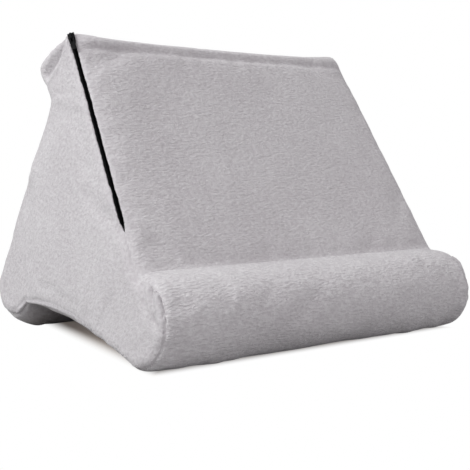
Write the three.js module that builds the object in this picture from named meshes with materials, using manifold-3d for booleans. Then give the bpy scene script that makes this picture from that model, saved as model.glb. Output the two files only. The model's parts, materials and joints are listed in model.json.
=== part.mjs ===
// Tablet cushion stand: a foam wedge in a plush cover, with a padded ledge on each of its three faces
// and a zip in its left front edge. Millimetres, +X to the right, +Y to the back, +Z up. The origin is
// on the floor, under the middle of the stand.
import * as THREE from "three";
import Module from "manifold-3d";
import { mergeVertices } from "three/addons/utils/BufferGeometryUtils.js";

// Overall size
const FLOOR_WIDTH = 296; // between the side seams at the floor
const TOP_WIDTH = 262; // between the side seams at the top edge
const DEPTH = 242;
const HEIGHT = 224;

// Side section: three flat faces and the three ledges
const FRONT_ANGLE = 57; // lean of the front face, degrees from the floor
const UNDERSIDE_ANGLE = 10; // rise of the underside towards the back, degrees
const ROLL_RADIUS = 32;
const ROLL_SINK = 10.5; // from the front face back to the roll's centre
const FOOT_RADIUS = 27;
const TOP_EDGE_RADIUS = 9;
const TOP_LEDGE_RADIUS = 11;
const TOP_LEDGE_REACH = 22; // how far the top ledge stands out of the back face
const TOP_LEDGE_DROP = 29; // from the top edge down the back face to the ledge's nose
const TOP_LEDGE_CREASE = 50; // from the top edge down the back face to the ledge's crease
const FLOOR_FLAT = 0.5; // depth of the flats that the roll and the foot stand on

// Cover: how far each panel is drawn in at its end seams, and over what length
const FABRIC = 2.2;
const CLEARANCE = 0.3;
const FACE_DRAW = 3.5;
const FACE_RUN = 14;
const ROLL_DRAW = 6;
const ROLL_RUN = 15;
const FOOT_DRAW = 13;
const FOOT_RUN = 105;
const TOP_LEDGE_DRAW = 1.5;
const TOP_LEDGE_RUN = 16;
const SIDE_CROWN = 3; // how far a side panel swells out past its seam
const SIDE_CROWN_RUN = 5;
const TOP_LEDGE_CROWN_RUN = 3;

// Zip
const ZIP_ABOVE_CREASE = 36; // from the front crease up to the zip's lower end
const ZIP_ABOVE_TOP = 6; // how far the zip's upper end stands past the top seam
const COIL_RADIUS = 0.8;
const COIL_PARTING = 1.6; // between the two rows, room for the slider's post
const TAPE_WIDTH = 6.5;
const TAPE_THICKNESS = 0.6;
const TAPE_TILT = 22; // degrees, down from the chain to the tape's outer edge
const ZIP_LIP = 0.5; // from a coil row to the edge of the cover
const STOP_LENGTH = 1.4;
const STOP_HEIGHT = 1.2;
const SLIDER_LENGTH = 9;
const SLIDER_WIDTH = 5;
const SLIDER_NOSE_WIDTH = 4;
const SLIDER_PLATE = 1;
const SLIDER_POST_LENGTH = 2.6;
const SLIDER_LIFT = 0.4; // from the edge's crest up to the slider's front plate
const BRIDGE_START = 0.6; // from the slider's upper end down to its bridge
const BRIDGE_LENGTH = 5.4;
const BRIDGE_WIDTH = 1.1;
const BRIDGE_BAR = 0.7;
const TAB_LENGTH = 10.5;
const TAB_WIDTH = 3.4;
const TAB_THICKNESS = 1;
const TAB_ARM = 0.7;

// Facets
const LEDGE_STEPS = 14;
const NOSE_STEPS = 5;
const ROUND_STEPS = 12;
const RUN_STOPS = [0, 0.3, 0.65, 1];
const CROWN_STOPS = [0, 0.45, 1];

const wasm = await Module();
wasm.setup();

const radians = THREE.MathUtils.degToRad;
const unit = (angle) => new THREE.Vector2(Math.cos(angle), Math.sin(angle));
const along = (point, direction, distance) => point.clone().addScaledVector(direction, distance);
const angleAt = (point, centre) => point.clone().sub(centre).angle();

// Half of the width between the side seams at a height.
const halfWidth = (z) => THREE.MathUtils.lerp(FLOOR_WIDTH, TOP_WIDTH, z / HEIGHT) / 2;

// Angle of the outward normal of the line that touches two circles, going anticlockwise round the section.
function tangentAngle(from, fromRadius, to, toRadius) {
  const span = to.clone().sub(from);
  return span.angle() - Math.PI / 2 + Math.asin((fromRadius - toRadius) / span.length());
}

// Places in the side section. Its points are (y, z), and it runs anticlockwise as seen from +X.
const frontNormal = radians(FRONT_ANGLE) + Math.PI / 2;
const frontOut = unit(frontNormal);
const frontUp = unit(radians(FRONT_ANGLE));
const rollCentre = new THREE.Vector2(ROLL_RADIUS - DEPTH / 2, ROLL_RADIUS - FLOOR_FLAT);
const footCentre = new THREE.Vector2(DEPTH / 2 - FOOT_RADIUS, FOOT_RADIUS - FLOOR_FLAT);
const halfCrease = Math.sqrt(ROLL_RADIUS ** 2 - ROLL_SINK ** 2);
const frontCrease = along(along(rollCentre, frontOut, ROLL_SINK), frontUp, halfCrease);
const frontRise = HEIGHT - TOP_EDGE_RADIUS * (1 - frontOut.y) - frontCrease.y;
const topSeam = along(frontCrease, frontUp, frontRise / frontUp.y);
const topCentre = along(topSeam, frontOut, -TOP_EDGE_RADIUS);

const undersideNormal = radians(UNDERSIDE_ANGLE) + 1.5 * Math.PI;
const undersideAlong = unit(radians(UNDERSIDE_ANGLE));
const undersideStart = along(rollCentre, unit(undersideNormal), ROLL_RADIUS);
const toFoot = footCentre.clone().sub(undersideStart);
const footOff = toFoot.cross(undersideAlong);
const toCrease = toFoot.dot(undersideAlong) - Math.sqrt(FOOT_RADIUS ** 2 - footOff ** 2);
const footCrease = along(undersideStart, undersideAlong, toCrease);

const backNormal = tangentAngle(footCentre, FOOT_RADIUS, topCentre, TOP_EDGE_RADIUS);
const backOut = unit(backNormal);
const backDown = unit(backNormal - Math.PI / 2);
const backStart = along(footCentre, backOut, FOOT_RADIUS);
const backTop = along(topCentre, backOut, TOP_EDGE_RADIUS);
const topCrease = along(backTop, backDown, TOP_LEDGE_CREASE);
const noseBase = along(backTop, backDown, TOP_LEDGE_DROP);
const noseCentre = along(noseBase, backOut, TOP_LEDGE_REACH - TOP_LEDGE_RADIUS);

// A stretch of the section is a list of places, points with their outward normals, from seam to seam.
// A place's swell rises from 0 at both seams to 1 between them.
function line(from, to, normalAngle) {
  return [from, to].map((point) => ({ point, normal: unit(normalAngle), radius: Infinity }));
}

function arc(centre, radius, angles) {
  return angles.map((angle) => {
    const normal = unit(angle);
    return { point: along(centre, normal, radius), normal, radius };
  });
}

function evenly(from, to, steps) {
  const sweep = THREE.MathUtils.euclideanModulo(to - from, 2 * Math.PI);
  return Array.from({ length: steps + 1 }, (_, i) => from + (sweep * i) / steps);
}

// A ledge's arc has corners where the floor cuts it flat, in place of the steps close to them.
function ledge(centre, radius, from, to) {
  const angles = evenly(from, to, LEDGE_STEPS);
  const near = (angles[1] - from) / 2;
  const halfFlat = Math.acos(1 - FLOOR_FLAT / radius);
  const corners = [-halfFlat, halfFlat]
    .map((turn) => 1.5 * Math.PI + turn)
    .filter((corner) => corner > from + near && corner < angles.at(-1) - near);
  const kept = angles.filter((angle) => corners.every((corner) => Math.abs(angle - corner) > near));
  return arc(centre, radius, [...kept, ...corners].sort((a, b) => a - b));
}

function stretch(places, seams) {
  const reach = [0];
  places.slice(1).forEach((place, i) => reach.push(reach[i] + place.point.distanceTo(places[i].point)));
  return places.map((place, i) => ({
    ...place,
    seams,
    swell: Math.sin((Math.PI * reach[i]) / reach.at(-1)),
  }));
}

const rollStart = angleAt(frontCrease, rollCentre);
const footStart = angleAt(footCrease, footCentre);
const noseStart = tangentAngle(topCrease, 0, noseCentre, TOP_LEDGE_RADIUS);
const noseEnd = tangentAngle(noseCentre, TOP_LEDGE_RADIUS, topCentre, TOP_EDGE_RADIUS);

const faceSeams = { draw: FACE_DRAW, run: FACE_RUN, crownRun: SIDE_CROWN_RUN };
const rollSeams = { draw: ROLL_DRAW, run: ROLL_RUN, crownRun: SIDE_CROWN_RUN };
const footSeams = { draw: FOOT_DRAW, run: FOOT_RUN, crownRun: SIDE_CROWN_RUN };
const topSeams = { draw: TOP_LEDGE_DRAW, run: TOP_LEDGE_RUN, crownRun: TOP_LEDGE_CROWN_RUN };

const front = stretch(line(topSeam, frontCrease, frontNormal), faceSeams);
const roll = stretch(ledge(rollCentre, ROLL_RADIUS, rollStart, undersideNormal), rollSeams);
const underside = stretch(line(undersideStart, footCrease, undersideNormal), faceSeams);
const foot = stretch(ledge(footCentre, FOOT_RADIUS, footStart, backNormal), footSeams);
const back = stretch(line(backStart, topCrease, backNormal), faceSeams);
const top = stretch(
  [
    line(topCrease, topCrease, noseStart)[0],
    ...arc(noseCentre, TOP_LEDGE_RADIUS, evenly(noseStart, noseEnd, NOSE_STEPS)),
    ...arc(topCentre, TOP_EDGE_RADIUS, evenly(noseEnd, frontNormal, NOSE_STEPS)),
  ],
  topSeams,
);

// A seam's measure at a place: the plain face's at the ends of a stretch, the ledge's own between them.
const measure = (place, name) => THREE.MathUtils.lerp(faceSeams[name], place.seams[name], place.swell);

// An arc gives up only these shares of its radius to its draw-in, and of what is left to the crown.
const MOST_DRAWN = 0.6;
const MOST_CROWNED = 0.8;
const drawOf = (place) => Math.min(measure(place, "draw"), MOST_DRAWN * place.radius);
const crownRunOf = (place) =>
  Math.min(measure(place, "crownRun"), MOST_CROWNED * (place.radius - drawOf(place)));

// How far a place is drawn in at a distance from the end seam.
function drawIn(place, fromSeam) {
  const left = Math.max(0, 1 - fromSeam / measure(place, "run"));
  return drawOf(place) * left ** 2;
}

// The point that lies a layer's depth and a draw-in under a place, at a distance from the left (-1) or
// right (1) end seam. The flats on the floor run through every layer.
function under(place, layer, drawn, fromSeam, end) {
  const point = along(place.point, place.normal, -layer - drawn);
  const z = Math.max(point.y, layer);
  return new THREE.Vector3(end * (halfWidth(z) - fromSeam), point.x, z);
}

// The stretch, shortened at both ends by half of the gap that neighbours keep.
function trimmed(places) {
  const step = (from, to) => to.point.clone().sub(from.point).setLength(CLEARANCE / 2);
  const moved = places.map((place) => ({ ...place, point: place.point.clone() }));
  moved[0].point.add(step(places[0], places[1]));
  moved.at(-1).point.add(step(places.at(-1), places.at(-2)));
  return moved;
}

// A closed surface through rings of points, listed from left to right, with a cap on the first and last.
function loft(rings) {
  const count = rings[0].length;
  const points = rings.flat();
  const triangles = [];
  for (let ring = 0; ring + 1 < rings.length; ring++) {
    for (let i = 0; i < count; i++) {
      const a = ring * count + i;
      const b = ring * count + ((i + 1) % count);
      const c = b + count;
      const d = a + count;
      const split = points[a].distanceTo(points[c]) <= points[b].distanceTo(points[d]);
      triangles.push(...(split ? [a, b, c, a, c, d] : [a, b, d, b, c, d]));
    }
  }
  const cap = (ring) => {
    const outline = rings[ring].map((point) => new THREE.Vector2(point.y, point.z));
    const faces = THREE.ShapeUtils.triangulateShape(outline, []);
    return faces.map((face) => face.map((i) => i + ring * count));
  };
  cap(0).forEach(([a, b, c]) => triangles.push(a, c, b));
  cap(rings.length - 1).forEach((face) => triangles.push(...face));
  const geometry = new THREE.BufferGeometry();
  const coordinates = points.flatMap((point) => point.toArray());
  geometry.setAttribute("position", new THREE.Float32BufferAttribute(coordinates, 3));
  return geometry.setIndex(triangles);
}

// Rings of a piece that runs from end to end: ring(end, stop) is asked for at each stop of both ends.
function endToEnd(stops, ring) {
  const left = stops.map((stop) => ring(-1, stop));
  const right = stops.map((stop) => ring(1, stop)).reverse();
  return loft([...left, ...right]);
}

// The ends of the cover and of what it holds lie under the side panels.
const endGap = FABRIC + CLEARANCE;
const runAt = (place, stop) => THREE.MathUtils.lerp(endGap, measure(place, "run"), stop);
const crownAt = (stop) => SIDE_CROWN * Math.sin((stop * Math.PI) / 2);

// A cover panel: the stretch's outer face and the inner one, a fabric's thickness under it.
function coverPanel(places) {
  const strip = trimmed(places);
  return endToEnd(RUN_STOPS, (end, stop) => {
    const layer = (depth) =>
      strip.map((place) => {
        const fromSeam = runAt(place, stop);
        return under(place, depth, drawIn(place, fromSeam), fromSeam, end);
      });
    return [...layer(0), ...layer(FABRIC).reverse()];
  });
}

// What fills the cover: it follows the cover's inside, and its ends swell with the side panels.
const fillStops = [
  ...CROWN_STOPS.slice(1).map((crown) => ({ crown, run: 0 })).reverse(),
  ...RUN_STOPS.map((run) => ({ crown: 0, run })),
];

function filling(...stretches) {
  const places = stretches.flatMap(trimmed);
  return endToEnd(fillStops, (end, { crown, run }) =>
    places.map((place) => {
      const fromSeam = runAt(place, run) - crownAt(crown);
      const crowned = drawOf(place) + crownRunOf(place) * crown + CLEARANCE - endGap;
      return under(place, endGap, crown ? crowned : drawIn(place, fromSeam), fromSeam, end);
    }),
  );
}

// A side panel closes one end: its rim lies on the ends of the cover panels, and it swells past the seam.
const same = (a, b) => a.point.distanceTo(b.point) + a.normal.distanceTo(b.normal) < CLEARANCE / 10;
const outline = [front, roll, underside, foot, back, top]
  .flat()
  .filter((place, i, all) => !same(place, all.at(i - 1)));

function sidePanel(end) {
  const ring = (crown, depth) =>
    outline.map((place) => {
      const drawn = crown ? drawOf(place) + crownRunOf(place) * crown : drawIn(place, depth);
      return under(place, 0, drawn, depth - crownAt(crown), end);
    });
  const inner = CROWN_STOPS.map((crown) => ring(crown, FABRIC)).reverse();
  const outer = CROWN_STOPS.map((crown) => ring(crown, 0));
  const rings = [...inner, ...outer];
  return loft(end > 0 ? rings : rings.reverse());
}

// Solids for cutting and joining
function solid(geometry) {
  const bare = geometry.clone();
  bare.deleteAttribute("normal");
  bare.deleteAttribute("uv");
  const merged = mergeVertices(bare, 1e-4);
  return new wasm.Manifold(
    new wasm.Mesh({
      numProp: 3,
      vertProperties: merged.attributes.position.array,
      triVerts: new Uint32Array(merged.index.array),
    }),
  );
}

function surface(made) {
  const { vertProperties, triVerts } = made.getMesh();
  const geometry = new THREE.BufferGeometry();
  geometry.setAttribute("position", new THREE.BufferAttribute(vertProperties, 3));
  return geometry.setIndex(new THREE.BufferAttribute(triVerts, 1));
}

const joined = (geometries) => surface(geometries.map(solid).reduce((sum, next) => sum.add(next)));
const cut = (geometry, tools) =>
  surface(tools.map(solid).reduce((left, tool) => left.subtract(tool), solid(geometry)));

// Zip frame: x across the chain towards the front panel, y out of the cushion, z down the chain.
function edgePoint(belowTop) {
  const point = along(along(topSeam, frontUp, -belowTop), frontOut, -FACE_DRAW);
  return new THREE.Vector3(-halfWidth(point.y), point.x, point.y);
}

const frontLength = topSeam.distanceTo(frontCrease);
const zipTop = edgePoint(-ZIP_ABOVE_TOP);
const zipSpan = edgePoint(frontLength - ZIP_ABOVE_CREASE).sub(zipTop);
const zipLength = zipSpan.length();
const zipDown = zipSpan.clone().normalize();
const sideOut = new THREE.Vector3(-1, 0, (FLOOR_WIDTH - TOP_WIDTH) / 2 / HEIGHT).normalize();
const zipOut = new THREE.Vector3(0, frontOut.x, frontOut.y).add(sideOut).normalize();
const zipAcross = new THREE.Vector3().crossVectors(zipOut, zipDown);

const zip = new THREE.Group();
zip.position.copy(zipTop);
zip.quaternion.setFromRotationMatrix(new THREE.Matrix4().makeBasis(zipAcross, zipOut, zipDown));
zip.updateMatrix();

// Levels and half widths in the zip frame
const tapeFall = Math.tan(radians(TAPE_TILT));
const tapeSlant = 1 / Math.cos(radians(TAPE_TILT));
const chainHalf = COIL_PARTING / 2;
const tapeEdge = new THREE.Vector2(
  chainHalf + TAPE_THICKNESS * Math.sin(radians(TAPE_TILT)),
  -FABRIC - CLEARANCE,
);
const tapeLevel = (across) => tapeEdge.y - (across - tapeEdge.x) * tapeFall;
const coilAcross = chainHalf + COIL_RADIUS;
const coilLevel = tapeLevel(coilAcross) + (COIL_RADIUS + CLEARANCE) * tapeSlant;
const chainEdge = coilAcross + COIL_RADIUS;
const slitHalf = chainEdge + ZIP_LIP;
const backPlateHalf = slitHalf - CLEARANCE;
const backPlateTop = tapeLevel(backPlateHalf) - TAPE_THICKNESS * tapeSlant - CLEARANCE;
const backPlateBottom = backPlateTop - SLIDER_PLATE;
const frontPlateTop = SLIDER_LIFT + SLIDER_PLATE;
const sliderTop = STOP_LENGTH + CLEARANCE;
const sliderEnd = sliderTop + SLIDER_LENGTH;
const bridgeFrom = sliderTop + BRIDGE_START;
const bridgeTo = bridgeFrom + BRIDGE_LENGTH;
const bridgeInside = frontPlateTop + TAB_THICKNESS + 2 * CLEARANCE;
const bridgeTop = bridgeInside + BRIDGE_BAR;
const pivotLevel = (frontPlateTop + bridgeInside) / 2;
const pivotDown = bridgeTo - BRIDGE_BAR - CLEARANCE - TAB_THICKNESS / 2;

// Outlines drawn in two axes of the zip frame and drawn out along the third
function alongChain(shape, from, to) {
  const geometry = new THREE.ExtrudeGeometry(shape, {
    depth: to - from,
    bevelEnabled: false,
    curveSegments: ROUND_STEPS,
  });
  return geometry.translate(0, 0, from);
}

function upright(shape, from, to) {
  return alongChain(shape, -to, -from).rotateX(Math.PI / 2);
}

function acrossChain(shape, half) {
  return alongChain(shape, -half, half).rotateY(-Math.PI / 2);
}

function block(x, y, z) {
  const size = [x, y, z].map(([low, high]) => high - low);
  const middle = [x, y, z].map(([low, high]) => (low + high) / 2);
  return new THREE.BoxGeometry(...size).translate(...middle);
}

// A point of a tape's section, by its distance from the tape's inner edge and its height over its face.
const tapeFalls = unit(-radians(TAPE_TILT));
const tapeOut = unit(Math.PI / 2 - radians(TAPE_TILT));
const onTape = (distance, height) => along(along(tapeEdge, tapeFalls, distance), tapeOut, height);

// A tape's section, on the front (1) or side (-1) half of the chain, grown all round by a clearance.
function tapeShape(half, grow) {
  const points = [
    onTape(-grow, grow),
    onTape(-grow, -TAPE_THICKNESS - grow),
    onTape(TAPE_WIDTH + grow, -TAPE_THICKNESS - grow),
    onTape(TAPE_WIDTH + grow, grow),
  ];
  return new THREE.Shape(points.map((point) => new THREE.Vector2(half * point.x, point.y)));
}

const tape = (half) => alongChain(tapeShape(half, 0), 0, zipLength);

function coil(half) {
  const row = new THREE.Shape().absarc(half * coilAcross, coilLevel, COIL_RADIUS, 0, 2 * Math.PI);
  return alongChain(row, sliderTop, zipLength - sliderTop);
}

const stopLevels = [coilLevel - STOP_HEIGHT / 2, coilLevel + STOP_HEIGHT / 2];

function topStop(half) {
  const sides = half > 0 ? [chainHalf, chainEdge] : [-chainEdge, -chainHalf];
  return block(sides, stopLevels, [0, STOP_LENGTH]);
}

function bottomStop() {
  return block([-chainEdge, chainEdge], stopLevels, [zipLength - STOP_LENGTH, zipLength]);
}

// The slider: a front plate over the cover's edges, a back plate under the tapes, a post between the rows
// and a bridge for the pull tab's bar. Joined solids reach a little way into each other.
const sink = CLEARANCE / 3;

function sliderPlate(half, noseHalf, from, to) {
  const neck = (sliderTop + sliderEnd) / 2;
  const right = [
    [half, sliderTop],
    [half, neck],
    [noseHalf, sliderEnd],
  ];
  const left = right.map(([across, down]) => [-across, down]).reverse();
  const points = [...right, ...left].map(([across, down]) => new THREE.Vector2(across, down));
  return upright(new THREE.Shape(points), from, to);
}

function slider() {
  const taper = SLIDER_NOSE_WIDTH / SLIDER_WIDTH;
  const postHalf = chainHalf - CLEARANCE;
  const foot = frontPlateTop - sink;
  const arch = [
    [bridgeFrom, foot],
    [bridgeFrom + BRIDGE_BAR, foot],
    [bridgeFrom + BRIDGE_BAR, bridgeInside],
    [bridgeTo - BRIDGE_BAR, bridgeInside],
    [bridgeTo - BRIDGE_BAR, foot],
    [bridgeTo, foot],
    [bridgeTo, bridgeInside],
    [bridgeTo - BRIDGE_BAR, bridgeTop],
    [bridgeFrom + BRIDGE_BAR, bridgeTop],
    [bridgeFrom, bridgeInside],
  ].map(([down, level]) => new THREE.Vector2(down, level));
  return joined([
    sliderPlate(SLIDER_WIDTH / 2, SLIDER_NOSE_WIDTH / 2, SLIDER_LIFT, frontPlateTop),
    sliderPlate(backPlateHalf, backPlateHalf * taper, backPlateBottom, backPlateTop),
    block(
      [-postHalf, postHalf],
      [backPlateTop - sink, SLIDER_LIFT + sink],
      [sliderTop, sliderTop + SLIDER_POST_LENGTH],
    ),
    acrossChain(new THREE.Shape(arch), BRIDGE_WIDTH / 2),
  ]);
}

// The pull tab: a flat tab with a window that clears the bridge, and a round bar through the bridge.
function pullTab() {
  const armInside = BRIDGE_WIDTH / 2 + CLEARANCE;
  const armOutside = armInside + TAB_ARM;
  const half = TAB_WIDTH / 2;
  const reach = new THREE.Vector2(pivotDown - bridgeFrom, bridgeTop - pivotLevel).length();
  const windowEnd = pivotDown + reach + CLEARANCE;
  const roundAt = pivotDown + TAB_LENGTH - half;
  const outer = new THREE.Shape();
  outer.moveTo(armInside, pivotDown);
  outer.lineTo(armOutside, pivotDown);
  outer.lineTo(half, windowEnd);
  outer.lineTo(half, roundAt);
  outer.absarc(0, roundAt, half, 0, Math.PI, false);
  outer.lineTo(-half, windowEnd);
  outer.lineTo(-armOutside, pivotDown);
  outer.lineTo(-armInside, pivotDown);
  outer.lineTo(-armInside, windowEnd);
  outer.lineTo(armInside, windowEnd);
  outer.closePath();
  const flat = upright(outer, pivotLevel - TAB_THICKNESS / 2, pivotLevel + TAB_THICKNESS / 2);
  const round = new THREE.Shape().absarc(pivotDown, pivotLevel, TAB_THICKNESS / 2, 0, 2 * Math.PI);
  return joined([flat, acrossChain(round, armOutside)]);
}

// Room for the zip in the cover: a slit, with a groove on its inside for each tape.
const roomFrom = -CLEARANCE;
const roomTo = zipLength + CLEARANCE;
const coverRoom = [
  block([-slitHalf, slitHalf], [backPlateBottom - CLEARANCE, bridgeTop], [roomFrom, zipLength]),
  alongChain(tapeShape(1, CLEARANCE), roomFrom, roomTo),
  alongChain(tapeShape(-1, CLEARANCE), roomFrom, roomTo),
].map((geometry) => geometry.applyMatrix4(zip.matrix));

// Room for the zip in what the cover holds: all that lies over the tapes and the slider's back plate.
function trench() {
  const side = onTape(TAPE_WIDTH + CLEARANCE, -TAPE_THICKNESS - CLEARANCE);
  const right = [
    [slitHalf, backPlateBottom - CLEARANCE],
    [side.x, side.y],
    [side.x, bridgeTop],
  ];
  const left = right.map(([across, level]) => [-across, level]).reverse();
  const points = [...right, ...left].map(([across, level]) => new THREE.Vector2(across, level));
  return alongChain(new THREE.Shape(points), roomFrom, roomTo);
}

const fillRoom = [trench().applyMatrix4(zip.matrix)];

// Colours
const PLUSH = 0xbab5b8;
const FOAM = 0xe8dfc8;
const FIBRE = 0xf2f2ee;
const ZIP_BLACK = 0x161618;

function piece(name, geometry, finish) {
  const faceted = geometry.index ? geometry.toNonIndexed() : geometry;
  faceted.computeVertexNormals();
  const mesh = new THREE.Mesh(faceted, new THREE.MeshStandardMaterial(finish));
  mesh.name = name;
  return mesh;
}

const plushPiece = (name, geometry) => piece(name, geometry, { color: PLUSH, roughness: 1 });
const softPiece = (name, geometry, color) => piece(name, geometry, { color, roughness: 1 });
const zipPiece = (name, geometry, metalness) =>
  piece(name, geometry, { color: ZIP_BLACK, roughness: 0.5, metalness });

const stand = new THREE.Group();
stand.add(
  softPiece("foam_core", cut(filling(front, underside, back), fillRoom), FOAM),
  softPiece("front_roll_fill", filling(roll), FIBRE),
  softPiece("foot_ledge_fill", filling(foot), FIBRE),
  softPiece("top_ledge_fill", cut(filling(top), fillRoom), FIBRE),
  plushPiece("front_panel", cut(coverPanel(front), coverRoom)),
  plushPiece("front_roll_cover", coverPanel(roll)),
  plushPiece("underside_panel", coverPanel(underside)),
  plushPiece("foot_ledge_cover", coverPanel(foot)),
  plushPiece("back_panel", coverPanel(back)),
  plushPiece("top_ledge_cover", cut(coverPanel(top), coverRoom)),
  plushPiece("left_side_panel", cut(sidePanel(-1), coverRoom)),
  plushPiece("right_side_panel", sidePanel(1)),
  zip,
);
zip.add(
  zipPiece("zip_tape_front", tape(1), 0),
  zipPiece("zip_tape_side", tape(-1), 0),
  zipPiece("zip_coil_front", coil(1), 0),
  zipPiece("zip_coil_side", coil(-1), 0),
  zipPiece("zip_top_stop_front", topStop(1), 0),
  zipPiece("zip_top_stop_side", topStop(-1), 0),
  zipPiece("zip_bottom_stop", bottomStop(), 0),
  zipPiece("zip_slider", slider(), 0.6),
  zipPiece("zip_pull_tab", pullTab(), 0.6),
);

export default stand;
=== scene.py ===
"""Tablet cushion stand: a plush cover sewn round foam and stuffing, with a zip in its left front edge."""

import json
import math
from contextlib import contextmanager

import bpy
import numpy as np
from bpy.props import FloatProperty, FloatVectorProperty, IntProperty, PointerProperty
from mathutils import Matrix, Vector, geometry, noise
from mathutils.bvhtree import BVHTree

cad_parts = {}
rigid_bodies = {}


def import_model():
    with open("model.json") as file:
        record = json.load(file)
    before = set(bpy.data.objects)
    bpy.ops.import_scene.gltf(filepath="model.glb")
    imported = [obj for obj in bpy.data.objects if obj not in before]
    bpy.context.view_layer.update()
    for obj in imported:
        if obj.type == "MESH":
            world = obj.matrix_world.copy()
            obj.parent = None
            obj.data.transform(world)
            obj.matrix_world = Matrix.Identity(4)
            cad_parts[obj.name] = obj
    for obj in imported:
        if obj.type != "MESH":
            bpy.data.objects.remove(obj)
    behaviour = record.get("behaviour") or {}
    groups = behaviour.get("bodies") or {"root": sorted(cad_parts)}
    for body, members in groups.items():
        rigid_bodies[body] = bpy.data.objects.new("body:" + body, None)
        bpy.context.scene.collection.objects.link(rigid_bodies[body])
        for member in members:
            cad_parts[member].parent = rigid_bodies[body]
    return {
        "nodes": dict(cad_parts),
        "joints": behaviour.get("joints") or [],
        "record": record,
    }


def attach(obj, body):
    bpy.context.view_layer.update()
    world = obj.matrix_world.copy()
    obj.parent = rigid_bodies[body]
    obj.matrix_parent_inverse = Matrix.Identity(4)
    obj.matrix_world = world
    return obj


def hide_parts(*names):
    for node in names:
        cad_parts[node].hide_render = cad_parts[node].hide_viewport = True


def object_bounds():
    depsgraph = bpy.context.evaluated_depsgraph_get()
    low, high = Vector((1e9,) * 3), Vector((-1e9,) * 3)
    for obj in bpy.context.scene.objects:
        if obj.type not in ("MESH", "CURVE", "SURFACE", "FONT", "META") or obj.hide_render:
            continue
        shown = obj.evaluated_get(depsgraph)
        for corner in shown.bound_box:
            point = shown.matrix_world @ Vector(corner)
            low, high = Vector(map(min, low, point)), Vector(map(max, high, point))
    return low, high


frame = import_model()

bl_info = {
    "name": "Tablet Cushion Stand",
    "version": (1, 0, 0),
    "blender": (4, 5, 0),
    "location": "View3D > Sidebar > Cushion",
    "description": "Sews, stuffs and zips a plush tablet cushion stand round its construction frame",
    "category": "Object",
}

CAD_BOX = [list(corner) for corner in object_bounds()]
MOUNTS = {mount["name"]: mount for mount in frame["record"]["mounts"]}
JOINTS = {joint["name"]: joint for joint in frame["joints"]}
FULL_TURN = 2 * math.pi
WHITE = (1.0, 1.0, 1.0, 1.0)
NODE_REACH = 1e-6               # of a CAD node's points that are one

# Cloth
COVER_FORM = "cover_form"       # the closed cover, kept until the padding is fitted in it
FEWEST_ROWS = 6                 # of cloth faces across a narrow panel
RIM_SHARE = 0.6                 # of the cloth's pitch that a side panel's inner points keep from its rim
SEWING_REACH = 1e-5             # of the panels' edges that are sewn together
RIM_REACH = 1e-7                # of a side panel's points that are one
CLOTH_SETTINGS = {
    "quality": 5,
    "mass": 0.3,
    "tension_stiffness": 15,
    "compression_stiffness": 15,
    "bending_stiffness": 0.5,
    "use_pressure": True,
}
LUMP_PITCH = 0.045
FOLD_UNEVEN = 0.6               # share of the top fold's depth that its lumps take or add
GATHER_PITCH = np.array([0.020, 0.008, 0.008])
PLUSH_SMOOTH = math.radians(60)

# Padding
PADDING_PITCH = 0.004           # size of the faces before they are subdivided
FIBRE_SWELL = 0.001             # the furthest that a ledge's stuffing swells
PADDING_SMOOTH = math.radians(50)

# Zip
LIP_SHARE = 0.05                # of the slit's opening, past which a panel's edge is a lip of the zip
LIP_UNEVEN = 0.4                # of the slit's half width
LIP_PITCH = 0.009
TAB_PIVOT_LEVEL = 0.0022        # of the pull tab's bar, out of the zip's upper end
TAB_PIVOT_DOWN = 0.0062         # of the pull tab's bar, down from the zip's upper end
WIRE_SIDES = 6
TURN_STEPS = 10                 # faces along a turn of the coil
TAPE_ROUND = 0.00015            # radius of the tapes' edges
METAL_ROUND = 0.0002            # radius of the edges of the slider, its tab and the stops
SHARP_ANGLE = math.radians(30)
METAL_SMOOTH = math.radians(40)

# Stitches
HEM_STITCH = 0.0013             # half width of the dip along the hem's stitches
HEM_LINE = 1.15                 # of the hem's width, where its stitches are
STITCH_SHARE = 0.72             # of a step that its stitch covers
STITCH_SIDES = 8
STITCH_RINGS = 5
SEAM_SHARES = np.linspace(0, 1, 60)
ARCH_SHARES = SEAM_SHARES[3:]   # of the underside's end seam, where the arch is stitched
ROLL_SHARES = SEAM_SHARES[6:50]     # of the roll's end seam, where it is stitched

# Stage
STAND_MIDDLE = Vector((0, 0, 0.09))
SENSOR_WIDTH = 36.0             # of the camera, in millimetres
BOUNCE_EDGE = (-0.02, 0.01)     # from the stand's outline, where the floor turns from dim to open
RISE_EDGE = (0.0, 0.5)          # height of the sky's directions, where it turns from low to high

# Plush ripples: how they are stretched along the axes, and how strong they are
RIPPLES = {
    "plush_along": ((280.0, 680.0, 680.0), 0.55),
    "plush_side": ((420.0, 420.0, 420.0), 0.45),
    "plush_roll": ((250.0, 620.0, 620.0), 0.9),
}

# Cover panels in the order of their index in the sewn cover, with the node that each stands for.
# The first six run from the left to the right, one after the other round the side section.
COVER_NODES = (
    "front_panel",
    "front_roll_cover",
    "underside_panel",
    "foot_ledge_cover",
    "back_panel",
    "top_ledge_cover",
    "left_side_panel",
    "right_side_panel",
)
FRONT, ROLL, UNDERSIDE, FOOT, BACK, TOP, LEFT, RIGHT = range(len(COVER_NODES))

# Folds in a side panel: a path of (y, z) places, how far it stands out, and the fold's width.
SIDE_FOLDS = (
    # the edge in front of the top ledge's end, and the fold behind it
    (((0.0286, 0.2177), (0.0325, 0.2070), (0.0383, 0.1985), (0.0472, 0.1911)), 0.0010, 0.0034),
    (((0.0345, 0.2150), (0.0395, 0.2075), (0.0480, 0.1995), (0.0545, 0.1940)), -0.0050, 0.0046),
    # soft dent beside the roll's end
    (((-0.1025, 0.0221), (-0.1025, 0.0201)), -0.0014, 0.0080),
    # slack below the zip and along the back
    (((-0.0179, 0.1087), (-0.0590, 0.0891)), -0.0012, 0.0070),
    (((0.0681, 0.1089), (0.0628, 0.0591)), -0.0014, 0.0080),
)

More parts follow.
